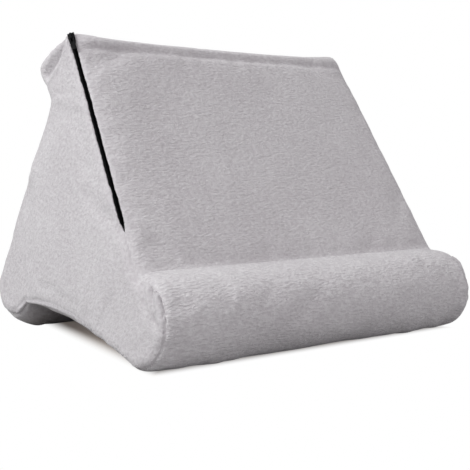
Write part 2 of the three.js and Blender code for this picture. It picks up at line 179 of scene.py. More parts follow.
# Puckers in a side panel where the front face and the roll meet it, written as the folds are. They fade
# towards their ends.
SIDE_PUCKERS = (
    (((-0.0960, 0.0612), (-0.1050, 0.0520), (-0.1105, 0.0440)), 0.0026, 0.0026),
    (((-0.0885, 0.0650), (-0.0955, 0.0560), (-0.1010, 0.0440)), -0.0046, 0.0023),
    (((-0.0810, 0.0660), (-0.0885, 0.0540), (-0.0940, 0.0410)), -0.0028, 0.0028),
    (((-0.0755, 0.0700), (-0.0800, 0.0570)), -0.0024, 0.0024),
    (((-0.1005, 0.0420), (-0.1070, 0.0300)), -0.0032, 0.0044),
)


def length(name, description, default):
    """A size in metres that a user would change."""
    return FloatProperty(
        name=name, description=description, default=default, unit="LENGTH", subtype="DISTANCE", precision=5
    )


def number(name, description, default, **limits):
    """A plain number that a user would change."""
    return FloatProperty(name=name, description=description, default=default, **limits)


def location(name, description, default):
    """A place in metres that a user would change."""
    return FloatVectorProperty(name=name, description=description, default=default, unit="LENGTH")


def colour(name, description, default):
    """A colour that a user would change."""
    return FloatVectorProperty(
        name=name, description=description, default=default, size=3, min=0, max=1, subtype="COLOR"
    )


class CushionSizes(bpy.types.PropertyGroup):
    """Sizes of the padding and its cover."""

    seam_floor: length("Seam at floor", "From the middle to a side seam at the floor", 0.148)
    seam_top: length("Seam at top", "From the middle to a side seam at the top edge", 0.131)
    roll_radius: length("Roll radius", "Radius of the front roll", 0.032)
    foot_radius: length("Foot radius", "Radius of the rear foot", 0.027)
    edge_radius: length("Top edge radius", "Radius of the top edge", 0.009)
    ledge_radius: length("Top ledge radius", "Radius of the top ledge's nose", 0.011)
    ledge_reach: length("Top ledge reach", "How far the top ledge stands out of the back", 0.022)
    ledge_drop: length("Top ledge drop", "From the top edge down to the ledge's nose", 0.029)
    ledge_crease: length("Top ledge crease", "From the top edge down to the ledge's crease", 0.050)
    floor_flat: length("Floor flat", "Depth of the flats that the stand rests on", 0.0005)
    face_draw: length("Face draw-in", "How far a flat face is drawn in at its end seams", 0.0035)
    face_run: length("Face run", "Length of a flat face's draw-in", 0.014)
    roll_draw: length("Roll draw-in", "How far the roll is drawn in at its end seams", 0.006)
    roll_run: length("Roll run", "Length of the roll's draw-in", 0.050)
    heel_draw: length("Heel draw-in", "How far the roll's end is drawn in at the underside", 0.0015)
    under_draw: length("Underside draw-in", "How far the underside is drawn in at its end seams", 0.007)
    under_run: length("Underside run", "Length of the underside's draw-in", 0.020)
    foot_draw: length("Foot draw-in", "How far the foot is drawn in at its end seams", 0.013)
    foot_run: length("Foot run", "Length of the foot's draw-in", 0.028)
    arch_draw: length("Arch draw-in", "How far the arch is drawn in, or flares, at its rear corner", -0.004)
    back_draw: length("Back draw-in", "How far the back is drawn in at its end seams", 0.005)
    ear_draw: length("Ear draw-in", "How far the cover is drawn in under the top ledge's ends", 0.009)
    top_draw: length("Top draw-in", "How far the top ledge is drawn in, or flares, at its ends", -0.0008)
    top_run: length("Top run", "Length of the top ledge's draw-in", 0.016)
    top_sag: length("Top sag", "How far the top edge hangs through between its corners", 0.0048)
    sag_depth: length("Sag depth", "How far down from the top edge the cover hangs through", 0.06)
    right_share: number("Right draw-in", "Share of the draw-in at the right", 0.4)
    slack: length("Slack", "How far each panel lies in before the stuffing swells it", 0.002)
    swell: length("Swell", "The furthest that the stuffing pushes a panel out", 0.0035)
    side_crown: length("Side crown", "How far a side panel stands out before it swells", 0.0028)
    side_run: length("Side crown run", "Length over which a side panel's crown rises", 0.007)
    side_swell: length("Side swell", "The furthest that the foam pushes a side panel out", 0.0015)
    drift: length("Drift", "The furthest that the cloth slips along itself", 0.001)
    top_ridge: length("Top ridge", "How far the padded top edge stands out", 0.0016)
    ridge_drop: length("Top ridge drop", "From the top seam down to the middle of the padded edge", 0.003)
    ridge_width: length("Top ridge width", "Width of the padded top edge", 0.0045)
    top_fold: length("Top fold", "Depth of the fold below the padded top edge", 0.0014)
    fold_drop: length("Top fold drop", "From the top seam down to the fold", 0.0095)
    fold_width: length("Top fold width", "Width of the fold below the top edge", 0.0026)
    seam_dip: length("Seam dip", "How far the plush dips at the end seams", 0.0013)
    seam_width: length("Seam width", "Width of the dip at the end seams", 0.0014)
    lumps: length("Lumps", "Height of the uneven stuffing", 0.0009)
    gathers: length("Gathers", "Height of the small folds at the ledges' end seams", 0.0009)
    gather_run: length("Gather run", "Where the small folds are highest, from the end seam", 0.006)
    fold_edge: length("Fold edge", "From a seam to where the side panels' folds are full", 0.0018)
    hem_width: length("Hem width", "Width of the hem along the arch", 0.0042)
    hem_rise: length("Hem rise", "How far the hem stands out", 0.0007)
    padding_gap: length("Padding gap", "From the cover to the padding in it", 0.0015)
    roll_stitch: length("Roll stitch", "From the roll's end seam to its stitches", 0.0025)
    stitch_step: length("Stitch step", "Length of a stitch and its gap", 0.0032)
    stitch_lift: length("Stitch lift", "How far a stitch stands out of the plush", 0.0001)
    thread: length("Thread", "Radius of the sewing thread", 0.00024)
    cloth_pitch: length("Cloth pitch", "Size of the simulated cloth's faces", 0.005)
    fabric: length("Fabric", "Thickness of the plush", 0.0022)
    pressure: number("Pressure", "Pressure of the stuffing", 4.0, min=0)
    growth: number("Growth", "Share by which the cloth is cut too large", 0.02)
    frames: IntProperty(name="Frames", description="Length of the cloth simulation", default=20, min=2)


class PlushLook(bpy.types.PropertyGroup):
    """Colours of the fabrics and fillings."""

    light: colour("Light pile", "Plush where the pile stands towards the light", (0.67, 0.65, 0.665))
    dark: colour("Dark pile", "Plush where the pile lies away from the light", (0.46, 0.425, 0.45))
    thread: colour("Thread", "Sewing thread", (0.70, 0.68, 0.70))
    foam: colour("Foam", "Upholstery foam", (0.80, 0.72, 0.55))
    fibre: colour("Fibre", "Polyester stuffing", (0.88, 0.88, 0.86))
    tape: colour("Tape", "Woven zip tape", (0.005, 0.005, 0.006))
    coil: colour("Coil", "Nylon zip coil", (0.004, 0.004, 0.0045))
    paint: colour("Paint", "Paint on the zip's metal", (0.006, 0.006, 0.0065))
    bare: colour("Bare metal", "Metal where the paint is worn", (0.45, 0.44, 0.43))


class ZipSizes(bpy.types.PropertyGroup):
    """Sizes of the zip and its slit."""

    slit: length("Slit", "Half of the gap between the plush lips", 0.0016)
    lip_rise: length("Lip rise", "How far the plush lips stand out beside the zip", 0.0006)
    close_start: length("Closing start", "Where the lips begin to close at the lower end", 0.152)
    close_end: length("Closing end", "Where the lips meet at the lower end", 0.161)
    slit_start: length("Slit start", "How far the slit runs out over the top edge", 0.012)
    slit_depth: length("Slit depth", "How far in from the edge the panels are parted", 0.008)
    slit_reach: length("Slit reach", "How far from the zip the panels give way", 0.006)
    coil_wire: length("Coil wire", "Radius of the coil's wire", 0.00036)
    coil_pitch: length("Coil pitch", "Length of a turn of the coil", 0.00115)
    stop_half: length("Stop half width", "From the middle of the zip to a stop's outer end", 0.0018)
    stop_level: length("Stop level", "How deep the stops lie below the zip's edge", 0.0020)
    tape_half: length("Tape half width", "From the middle of the zip to a tape's outer edge", 0.0048)
    tape_start: length("Tape start", "From the zip's upper end down to the tapes' ends", 0.002)
    # the black strip behind the zip is painted shade for the slit between the teeth
    shade_strip_half: length("Backing half width", "From the middle of the zip to the backing's edge", 0.0035)
    shade_strip_thick: length("Backing thickness", "Thickness of the backing", 0.0006)
    shade_strip_level: length("Backing level", "How deep the backing lies below the zip's edge", 0.0062)
    tooth_gap: length("Tooth gap", "From the middle of the zip to the teeth and the tapes", 0.00056)
    trench_width: length("Trench width", "Width of the room for the zip in the padding", 0.022)
    trench_depth: length("Trench depth", "Depth of the room for the zip in the padding", 0.009)
    trench_height: length("Trench height", "Height of the block that cuts the room for the zip", 0.1)
    trench_length: length("Trench length", "Length of the room for the zip in the padding", 0.19)
    trench_start: length("Trench start", "How far the room for the zip starts above it", 0.02)


class StudioSizes(bpy.types.PropertyGroup):
    """Camera, floor and lights."""

    camera_place: location("Camera", "Place of the camera", (-0.4837, -0.5964, 0.1447))
    camera_turn: FloatVectorProperty(
        name="Camera turn",
        description="Turn of the camera",
        default=(math.radians(84.73), math.radians(-0.8), math.radians(-39.01)),
        subtype="EULER",
    )
    lens: number("Lens", "Focal length in millimetres", 74.8)
    floor_size: length("Floor", "Side of the floor", 8.0)
    shadow_inset: length("Shadow inset", "From the stand's outline in to the shadow's edge", 0.027)
    shadow_slant: number("Shadow slant", "How the shadow narrows to the rear", 0.155)
    shadow_rear: length("Shadow rear", "How far the shadow reaches out behind the stand", 0.020)
    shadow_fade: length("Shadow fade", "Half of the band where the shadow fades", 0.010)
    shadow_light: number("Shadow light", "How much the shadow is lightened", 0.10)
    shadow_tint: colour("Shadow tint", "Floor in the stand's shadow", (0.95, 0.83, 0.75))
    under_bounce: colour("Bounce under", "Light that the floor under it sends back", (0.11, 0.095, 0.085))
    open_bounce: colour("Open bounce", "Light that the open floor sends back", (0.45, 0.45, 0.45))
    ambient: number("Ambient", "Level of the light from above", 0.58)
    ambient_low: number("Low ambient", "Level of the light along the floor", 0.09)
    key: number("Key", "Level of the main light", 0.69)
    key_tint: colour("Key tint", "Colour of the main light", (0.98, 1.0, 0.995))
    key_offset: location("Key offset", "Main light from the middle of the stand", (-1.15, 0.20, 0.90))
    key_size: length("Key size", "Side of the main light", 0.7)
    fill: number("Fill", "Level of the light from the front", 0.22)
    fill_tint: colour("Fill tint", "Colour of the light from the front", (1.0, 0.96, 0.995))
    fill_offset: location("Fill offset", "Front light from the middle of the stand", (-0.3, -1.8, 0.75))
    fill_size: length("Fill size", "Side of the light from the front", 1.6)


# Small tools for meshes


def only(*objects):
    """Selects these objects alone, with the first one active."""
    bpy.ops.object.select_all(action="DESELECT")
    for obj in objects:
        obj.select_set(True)
    bpy.context.view_layer.objects.active = objects[0]


def fetch(items, name, width=1, kind=float):
    """One property of all of a mesh's items, as an array."""
    found = np.empty(len(items) * width, dtype=kind)
    items.foreach_get(name, found)
    return found.reshape(-1, width) if width > 1 else found


def points(obj):
    """The mesh's vertices."""
    return fetch(obj.data.vertices, "co", 3)


def normals(obj):
    """The mesh's vertex normals."""
    return fetch(obj.data.vertex_normals, "vector", 3)


def move_points(obj, places):
    """Puts the mesh's vertices at these places."""
    obj.data.vertices.foreach_set("co", np.asarray(places, dtype=float).ravel())
    obj.data.update()


def write_values(obj, name, values, domain="POINT"):
    """Writes a number on each of the mesh's points, edges or faces."""
    noted = obj.data.attributes.new(name, "FLOAT", domain)
    noted.data.foreach_set("value", np.asarray(values, dtype=float))


def read_values(obj, name):
    """The numbers that write_values wrote."""
    return fetch(obj.data.attributes[name].data, "value")


@contextmanager
def editing(obj):
    """Edit mode, with the whole mesh selected."""
    only(obj)
    bpy.ops.object.mode_set(mode="EDIT")
    bpy.ops.mesh.select_all(action="SELECT")
    yield
    bpy.ops.object.mode_set(mode="OBJECT")


def modify(obj, kind, **settings):
    """Adds a modifier with these settings and applies it."""
    only(obj)
    bpy.ops.object.modifier_add(type=kind)
    modifier = obj.modifiers[-1]
    for name, value in settings.items():
        setattr(modifier, name, value)
    bpy.ops.object.modifier_apply(modifier=modifier.name)


def subdivide(obj):
    modify(obj, "SUBSURF", levels=1, render_levels=1)


def smooth(obj, angle):
    """Shades the mesh smooth, apart from edges sharper than the angle."""
    only(obj)
    bpy.ops.object.shade_smooth_by_angle(angle=angle)


def select_faces(obj, chosen):
    """Opens the mesh in edit mode with these faces selected."""
    only(obj)
    bpy.ops.object.mode_set(mode="EDIT")
    bpy.ops.mesh.select_mode(type="FACE")
    bpy.ops.mesh.select_all(action="DESELECT")
    bpy.ops.object.mode_set(mode="OBJECT")
    obj.data.polygons.foreach_set("select", np.asarray(chosen, dtype=bool))
    bpy.ops.object.mode_set(mode="EDIT")


def copy_of_node(node, name):
    """A copy of a CAD node's mesh in a new object, with its loose triangles merged."""
    obj = bpy.data.objects.new(name, frame["nodes"][node].data.copy())
    bpy.context.scene.collection.objects.link(obj)
    obj.data.materials.clear()
    with editing(obj):
        bpy.ops.mesh.remove_doubles(threshold=NODE_REACH)
    return obj


def finish_piece(obj, finish, body, nodes=()):
    """Gives a piece its material, puts it on its body and hides the CAD nodes that it stands for."""
    obj.data.materials.clear()
    obj.data.materials.append(finish)
    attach(obj, body)
    if nodes:
        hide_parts(*nodes)


# Side section: places are (y, z) arrays, and it runs anticlockwise as seen from the right.


def face_plane(mount):
    """A point and the outward normal of a flat face, in the side section."""
    return np.array(MOUNTS[mount]["pos_m"][1:]), np.array(MOUNTS[mount]["axis"][1:])


def quarter_turn(direction):
    """The direction turned clockwise by a right angle."""
    return np.array([direction[1], -direction[0]])


def angle_of(direction):
    return math.atan2(direction[1], direction[0])


def tangent_angle(start, start_radius, end, end_radius):
    """Angle of the outward normal of the line that touches two circles."""
    span = end - start
    return angle_of(span) - math.pi / 2 + math.asin((start_radius - end_radius) / np.linalg.norm(span))


def path_reach(path):
    """Length of a path up to each of its places."""
    return np.concatenate([[0], np.cumsum(np.linalg.norm(np.diff(path, axis=0), axis=1))])


def along_path(along, reach, values):
    """Values of a path's places, carried to these lengths along it."""
    return np.stack([np.interp(along, reach, column) for column in values.T], axis=1)


class Stretch:
    """Part of the side section between two seams, with the draw-in at its ends."""

    FINE = 200
    BLEND = 0.012     # how far from a seam the two panels that meet there are drawn in alike
    SPREAD = 0.5      # share of the stretch over which a seam's own draw-in fades

    def __init__(self, draw, run):
        self.draw = draw
        self.run = run
        self.places = np.empty((0, 2))
        self.outward = np.empty((0, 2))

    def add(self, places, outward):
        self.places = np.concatenate([self.places, places])
        self.outward = np.concatenate([self.outward, outward])
        return self

    def line(self, start, end, normal):
        share = np.linspace(0, 1, self.FINE)[:, None]
        return self.add(start + share * (end - start), np.repeat(normal[None], self.FINE, axis=0))

    def arc(self, centre, radius, start, end):
        angles = start + (end - start) % FULL_TURN * np.linspace(0, 1, self.FINE)
        outward = np.stack([np.cos(angles), np.sin(angles)], axis=1)
        return self.add(centre + radius * outward, outward)

    def meet(self, after, draw):
        """Sews the end of this stretch to the start of the next one, with the draw-in of that seam."""
        between = self.outward[-1] + after.outward[0]
        self.end_out = after.start_out = between / np.linalg.norm(between)
        self.end_draw = after.start_draw = draw

    def at(self, share):
        """Places, and the directions that they are drawn in from, at shares of the stretch's length."""
        reach = path_reach(self.places)
        along = share * reach[-1]
        places = along_path(along, reach, self.places)
        outward = along_path(along, reach, self.outward)
        for from_seam, seam_out in ((along, self.start_out), (reach[-1] - along, self.end_out)):
            near = np.clip(1 - from_seam / self.BLEND, 0, 1)[:, None]
            outward = outward * (1 - near) + seam_out * near
        return places, outward / np.linalg.norm(outward, axis=1, keepdims=True)

    def drawn_at(self, share):
        """How far the stretch is drawn in at its end seam, at shares of its length."""
        from_start = np.clip(1 - share / self.SPREAD, 0, 1) ** 2
        from_end = np.clip(1 - (1 - share) / self.SPREAD, 0, 1) ** 2
        start_more = self.start_draw - self.draw
        end_more = self.end_draw - self.draw
        return self.draw + start_more * from_start + end_more * from_end


def side_section(sizes):
    """The six stretches of the side section, in the order of the cover's panels."""
    front_place, front_out = face_plane("front_face")
    back_out = face_plane("back_face")[1]
    under_out = face_plane("underside_face")[1]
    front_up = quarter_turn(front_out)
    back_down = quarter_turn(back_out)
    low, high = CAD_BOX

    roll = np.array([low[1] + sizes.roll_radius, sizes.roll_radius - sizes.floor_flat])
    foot = np.array([high[1] - sizes.foot_radius, sizes.foot_radius - sizes.floor_flat])
    sink = (front_place - roll) @ front_out
    half_crease = math.sqrt(sizes.roll_radius**2 - sink**2)
    front_crease = roll + front_out * sink + front_up * half_crease

    top_height = high[2] - sizes.edge_radius * (1 - front_out[1])
    top_seam = front_place + front_up * (top_height - front_place[1]) / front_up[1]
    top = top_seam - front_out * sizes.edge_radius

    under_start = roll + under_out * sizes.roll_radius
    under_along = -quarter_turn(under_out)
    to_foot = foot - under_start
    foot_off = to_foot @ under_out
    to_crease = to_foot @ under_along - math.sqrt(sizes.foot_radius**2 - foot_off**2)
    foot_crease = under_start + under_along * to_crease

    back_start = foot + back_out * sizes.foot_radius
    back_top = top + back_out * sizes.edge_radius
    top_crease = back_top + back_down * sizes.ledge_crease
    nose = back_top + back_down * sizes.ledge_drop + back_out * (sizes.ledge_reach - sizes.ledge_radius)
    nose_start = tangent_angle(top_crease, 0, nose, sizes.ledge_radius)
    nose_end = tangent_angle(nose, sizes.ledge_radius, top, sizes.edge_radius)

    roll_turn = (angle_of(front_crease - roll), angle_of(under_out))
    foot_turn = (angle_of(foot_crease - foot), angle_of(back_out))
    top_out = np.array([math.cos(nose_start), math.sin(nose_start)])
    stretches = (
        Stretch(sizes.face_draw, sizes.face_run).line(top_seam, front_crease, front_out),
        Stretch(sizes.roll_draw, sizes.roll_run).arc(roll, sizes.roll_radius, *roll_turn),
        Stretch(sizes.under_draw, sizes.under_run).line(under_start, foot_crease, under_out),
        Stretch(sizes.foot_draw, sizes.foot_run).arc(foot, sizes.foot_radius, *foot_turn),
        Stretch(sizes.back_draw, sizes.face_run).line(back_start, top_crease, back_out),
        Stretch(sizes.top_draw, sizes.top_run)
        .line(top_crease, nose + top_out * sizes.ledge_radius, top_out)
        .arc(nose, sizes.ledge_radius, nose_start, nose_end)
        .arc(top, sizes.edge_radius, nose_end, angle_of(front_out)),
    )
    stretches[FRONT].meet(stretches[ROLL], sizes.face_draw)
    stretches[ROLL].meet(stretches[UNDERSIDE], sizes.heel_draw)
    stretches[UNDERSIDE].meet(stretches[FOOT], sizes.arch_draw)
    stretches[FOOT].meet(stretches[BACK], sizes.back_draw)
    stretches[BACK].meet(stretches[TOP], sizes.ear_draw)
    stretches[TOP].meet(stretches[FRONT], sizes.face_draw)
    return stretches


def half_width(sizes, height):
    """From the middle to a side seam at a height."""
    return sizes.seam_floor + (sizes.seam_top - sizes.seam_floor) * height / CAD_BOX[1][2]


# Cover


def panel_grid(sizes, stretch, index):
    """A cloth panel along one stretch of the section, and its two ends, left (-1) and right (1)."""
    columns = round(2 * sizes.seam_floor / sizes.cloth_pitch)
    rows = max(FEWEST_ROWS, round(path_reach(stretch.places)[-1] / sizes.cloth_pitch))
    bpy.ops.mesh.primitive_grid_add(x_subdivisions=columns, y_subdivisions=rows, size=2)
    panel = bpy.context.object
    across, down = points(panel)[:, :2].T
    share = np.clip((down + 1) / 2, 0, 1)
    places, outward = stretch.at(share)
    swell = np.abs(np.sin(np.pi * share))
    from_seam = (1 - np.abs(across)) * half_width(sizes, places[:, 1])
    run = sizes.face_run + (stretch.run - sizes.face_run) * swell
    drawn = stretch.drawn_at(share) * np.clip(1 - from_seam / run, 0, 1) ** 2
    drawn *= np.where(across > 0, sizes.right_share, 1)
    slack = sizes.slack * np.sqrt(swell) * np.clip(from_seam / sizes.face_run, 0, 1)
    section = places - outward * (drawn + slack)[:, None]
    height = np.maximum(section[:, 1], 0)
    spots = np.stack([across * half_width(sizes, height), section[:, 0], height], axis=1)
    move_points(panel, spots)
    mark_panel(panel, index)
    write_values(panel, "from_seam", from_seam)
    write_values(panel, "firm", np.sqrt(swell))
    order = np.argsort(share, kind="stable")
    ends = {end: spots[order][np.isclose(across[order], end)][:-1, 1:] for end in (-1, 1)}
    return panel, ends


def mark_panel(panel, index):
    """Writes the panel's index on its faces, to part the sewn cover by."""
    mark = panel.data.attributes.new("panel", "INT", "FACE")
    mark.data.foreach_set("value", np.full(len(panel.data.polygons), index, dtype=np.int32))


def distance_to_path(spots, path):
    """Distance from each spot to the nearest point of a path."""
    nearest = np.full(len(spots), np.inf)
    for start, end in zip(path[:-1], path[1:]):
        side = end - start
        share = np.clip((spots - start) @ side / (side @ side), 0, 1)
        nearest = np.minimum(nearest, np.linalg.norm(spots - start - share[:, None] * side, axis=1))
    return nearest


def side_panel(sizes, outline, end, index):
    """A cloth panel of even triangles inside the outline of the cover's left (-1) or right (1) end."""
    pitch = sizes.cloth_pitch
    low, high = outline.min(axis=0), outline.max(axis=0)
    heights = np.arange(low[1], high[1], pitch * math.sqrt(3) / 2)
    depths = np.arange(low[0], high[0], pitch)
    lattice = np.array([(y + pitch / 2 * (row % 2), z) for row, z in enumerate(heights) for y in depths])
    closed = np.concatenate([outline, outline[:1]])
    inner = lattice[distance_to_path(lattice, closed) > RIM_SHARE * pitch]
    corners = [Vector(spot) for spot in np.concatenate([outline, inner])]
    rim = [(i, (i + 1) % len(outline)) for i in range(len(outline))]
    made = geometry.delaunay_2d_cdt(corners, rim, [], 1, RIM_REACH)
    spots = np.array([tuple(spot) for spot in made[0]])
    from_seam = distance_to_path(spots, closed)
    rise = np.clip(from_seam / sizes.side_run, 0, 1)
    x = end * (half_width(sizes, spots[:, 1]) + sizes.side_crown * (1 - (1 - rise) ** 2))
    mesh = bpy.data.meshes.new(COVER_NODES[index])
    mesh.from_pydata(np.column_stack([x, spots]).tolist(), [], made[2])
    panel = bpy.data.objects.new(COVER_NODES[index], mesh)
    bpy.context.scene.collection.objects.link(panel)
    write_values(panel, "from_seam", from_seam)
    with editing(panel):
        bpy.ops.mesh.delete_loose()
    mark_panel(panel, index)
    return panel


def sewn_cover(sizes):
    """All panels of the cover, sewn into one closed mesh whose seams share their vertices."""
    panels, ends = zip(*[panel_grid(sizes, s, i) for i, s in enumerate(side_section(sizes))])
    sides = [
        side_panel(sizes, np.concatenate([end[-1] for end in ends]), -1, LEFT),
        side_panel(sizes, np.concatenate([end[1] for end in ends]), 1, RIGHT),
    ]
    only(*panels, *sides)
    bpy.ops.object.join()
    cover = bpy.context.object
    with editing(cover):
        bpy.ops.mesh.remove_doubles(threshold=SEWING_REACH)
        bpy.ops.mesh.normals_make_consistent(inside=False)
    return cover


def panel_of_faces(cover):
    return fetch(cover.data.attributes["panel"].data, "value", kind=np.int32)


def panels_at_vertices(cover):
    """A row for each vertex that says which panels meet there."""
    corners = fetch(cover.data.loops, "vertex_index", kind=np.int32)
    sides = fetch(cover.data.polygons, "loop_total", kind=np.int32)
    met = np.zeros((len(cover.data.vertices), len(COVER_NODES)), dtype=bool)
    met[corners, np.repeat(panel_of_faces(cover), sides)] = True
    return met


def stuff(obj, sizes, pinned, swell):
    """Swells a mesh as cloth by the pressure of its stuffing. The pinned vertices are held, and swell is
    how far each vertex may move out."""
    before = points(obj)
    outward = normals(obj)
    held = obj.vertex_groups.new(name="held")
    held.add(np.flatnonzero(pinned).tolist(), 1.0, "REPLACE")
    only(obj)
    bpy.ops.object.modifier_add(type="CLOTH")
    cloth = obj.modifiers[-1]
    for name, value in CLOTH_SETTINGS.items():
        setattr(cloth.settings, name, value)
    cloth.settings.uniform_pressure_force = sizes.pressure
    cloth.settings.shrink_min = -sizes.growth
    cloth.settings.effector_weights.gravity = 0
    cloth.settings.vertex_group_mass = held.name
    cloth.collision_settings.use_collision = False
    cloth.point_cache.frame_start = 1
    cloth.point_cache.frame_end = sizes.frames
    for frame_number in range(1, sizes.frames + 1):
        bpy.context.scene.frame_set(frame_number)
    bpy.ops.object.modifier_apply(modifier=cloth.name)
    bpy.context.scene.frame_set(1)
    obj.vertex_groups.clear()
    moved = points(obj) - before
    out = np.sum(moved * outward, axis=1)
    along = moved - out[:, None] * outward
    drift = np.linalg.norm(along, axis=1, keepdims=True)
    along *= np.minimum(1, sizes.drift / np.maximum(drift, 1e-9))
    out = swell * np.tanh(np.maximum(out, 0) / swell)
    move_points(obj, before + along + outward * out[:, None])


def sag_top(cover, sizes):
    """Lets the top edge hang through between its corners, down the slope of the front face."""
    spots = points(cover)
    front_up = quarter_turn(face_plane("front_face")[1])
    rise = np.clip(1 - (CAD_BOX[1][2] - spots[:, 2]) / sizes.sag_depth, 0, 1)
    hang = np.clip(1 - (spots[:, 0] / sizes.seam_top) ** 2, 0, 1)
    spots[:, 1:] -= front_up * (sizes.top_sag * rise**2 * (3 - 2 * rise) * hang)[:, None]
    move_points(cover, spots)


def part_panels(cover):
    """Cuts the sewn cover along its seams and returns its panels in their order."""
    inward = cover.data.attributes.new("inward", "FLOAT_VECTOR", "POINT")
    inward.data.foreach_set("vector", -normals(cover).ravel())
    met = panels_at_vertices(cover)
    write_values(cover, "corner", met.sum(axis=1) > 2)
    write_values(cover, "zipped", met[:, LEFT] & (met[:, FRONT] | met[:, TOP]))
    panels = []
    for index in range(len(COVER_NODES) - 1):
        select_faces(cover, panel_of_faces(cover) == index)
        bpy.ops.mesh.separate(type="SELECTED")
        bpy.ops.object.mode_set(mode="OBJECT")
        panels.append(next(obj for obj in bpy.context.selected_objects if obj != cover))
    panels.append(cover)
    for panel, node in zip(panels, COVER_NODES):
        panel.name = node.replace("_cover", "").replace("_panel", "") + "_plush"
    return panels


def inward_of(panel):
    """The way into the cover at each vertex of a panel."""
    found = fetch(panel.data.attributes["inward"].data, "vector", 3)
    return found / np.linalg.norm(found, axis=1, keepdims=True)


def thicken(panel, fabric):
    """Gives a panel its thickness by an inner face that is parallel to the sewn cover."""
    with editing(panel):
        bpy.ops.mesh.extrude_region()
    outer = fetch(panel.data.vertices, "select", kind=bool)
    move_points(panel, points(panel) + inward_of(panel) * (fabric * ~outer)[:, None])
    crease_rim(panel, outer)
    subdivide(panel)


def crease_rim(panel, outer):
    """Keeps the rim of a panel's outer face in place where it is sewn, and soft along the zip's lips."""
    mesh = panel.data
    starts = fetch(mesh.polygons, "loop_start", kind=np.int32)
    sides = fetch(mesh.polygons, "loop_total", kind=np.int32)
    corners = fetch(mesh.loops, "vertex_index", kind=np.int32)
    edges = fetch(mesh.loops, "edge_index", kind=np.int32)
    outside = np.logical_and.reduceat(outer[corners], starts)
    walls = np.bincount(edges[np.repeat(outside, sides)], minlength=len(mesh.edges))
    ends = fetch(mesh.edges, "vertices", 2, np.int32)
    parted = read_values(panel, "zipped") * read_values(panel, "lip")
    sewn = parted[ends].min(axis=1) < LIP_SHARE
    write_values(panel, "crease_edge", (walls == 1) & sewn, "EDGE")
    write_values(panel, "crease_vert", outer & (read_values(panel, "corner") > 0.5))


def bumps(spots, pitch):
    """Smooth noise from -1 to 1 with bumps about a pitch apart."""
    return np.array([noise.noise(Vector(spot)) for spot in spots / pitch])


def press_in(panel, index, sizes):
    """Works the stuffing's lumps, the gathers at the ledges' ends and the folds into a panel."""
    spots = points(panel)
    from_seam = read_values(panel, "from_seam")
    if index in (LEFT, RIGHT):
        out = side_folds(spots[:, 1:], from_seam, sizes)
    else:
        near = from_seam / sizes.gather_run
        gathers = sizes.gathers * bumps(spots, GATHER_PITCH) * near * np.exp(1 - near)
        lumps = sizes.lumps * bumps(spots, LUMP_PITCH) * np.clip(from_seam / sizes.face_run, 0, 1)
        out = (gathers * (index in (ROLL, FOOT, TOP)) + lumps) * read_values(panel, "firm")
    if index in (FRONT, TOP):
        out += top_edge(spots, from_seam, sizes)
    out -= sizes.seam_dip * np.exp(-from_seam / sizes.seam_width) * (1 - read_values(panel, "lip"))
    spots -= inward_of(panel) * out[:, None]
    spots[:, 2] = np.maximum(spots[:, 2], 0)
    move_points(panel, spots)


def press_form(form, sizes):
    """Works the side panels' folds into the closed form that the padding is kept inside of."""
    sides = panels_at_vertices(form)[:, [LEFT, RIGHT]].any(axis=1)
    spots = points(form)
    out = np.minimum(side_folds(spots[:, 1:], read_values(form, "from_seam"), sizes), 0) * sides
    move_points(form, spots + normals(form) * out[:, None])


def top_edge(spots, from_seam, sizes):
    """How far the plush stands out over the padded top edge, and lies in below it."""
    front_place, front_out = face_plane("front_face")
    top_seam = side_section(sizes)[FRONT].places[0]
    below = (top_seam - spots[:, 1:]) @ quarter_turn(front_out)
    behind = (front_place - spots[:, 1:]) @ front_out
    ridge = sizes.top_ridge * np.exp(-(((below - sizes.ridge_drop) / sizes.ridge_width) ** 2))
    uneven = 1 + FOLD_UNEVEN * bumps(spots, LUMP_PITCH)
    fold = sizes.top_fold * uneven * np.exp(-(((below - sizes.fold_drop) / sizes.fold_width) ** 2))
    near = np.exp(-((behind / sizes.face_run) ** 2)) * np.clip(from_seam / sizes.face_run, 0, 1)
    return (ridge - fold) * near


def side_folds(spots, from_seam, sizes):
    """How far a side panel stands out at places (y, z) for its folds and the hem along its arch."""
    out = np.zeros(len(spots))
    for path, height, width in SIDE_FOLDS:
        out += height * np.exp(-((distance_to_path(spots, np.array(path)) / width) ** 2))
    for path, height, width in SIDE_PUCKERS:
        bend = np.array(path)
        from_middle = np.linalg.norm(spots - (bend[0] + bend[-1]) / 2, axis=1)
        fading = np.exp(-((2 * from_middle / np.linalg.norm(bend[-1] - bend[0])) ** 2))
        out += height * fading * np.exp(-((distance_to_path(spots, bend) / width) ** 2))
    arch = side_section(sizes)[UNDERSIDE].places[[0, -1]]
    near_arch = distance_to_path(spots, arch) < from_seam + sizes.under_draw + 2 * sizes.hem_width
    shown = np.clip((spots[:, 0] - arch[0, 0]) / (arch[1, 0] - arch[0, 0]), 0, 1) * near_arch
    hem = np.sin(np.pi * np.clip(from_seam / sizes.hem_width, 0, 1))
    line = np.exp(-(((from_seam - HEM_LINE * sizes.hem_width) / HEM_STITCH) ** 2))
    return out * np.clip(from_seam / sizes.fold_edge, 0, 1) + sizes.hem_rise * (hem - line) * shown


# Zip


def zip_frame():
    """Matrix from the zip's own frame (across to the front panel, out, down the chain) to the part's."""
    down = Vector(JOINTS["zip_run"]["axis"])
    across = -Vector(JOINTS["tab_swing"]["axis"])
    out = down.cross(across)
    turn = Matrix((across, out, down)).transposed().to_4x4()
    pivot = Vector(JOINTS["tab_swing"]["pos_m"])
    return Matrix.Translation(pivot - out * TAB_PIVOT_LEVEL - down * TAB_PIVOT_DOWN) @ turn


def in_zip(spots):
    """Places in the zip's own frame."""
    into = np.array(zip_frame().inverted())
    return spots @ into[:3, :3].T + into[:3, 3]


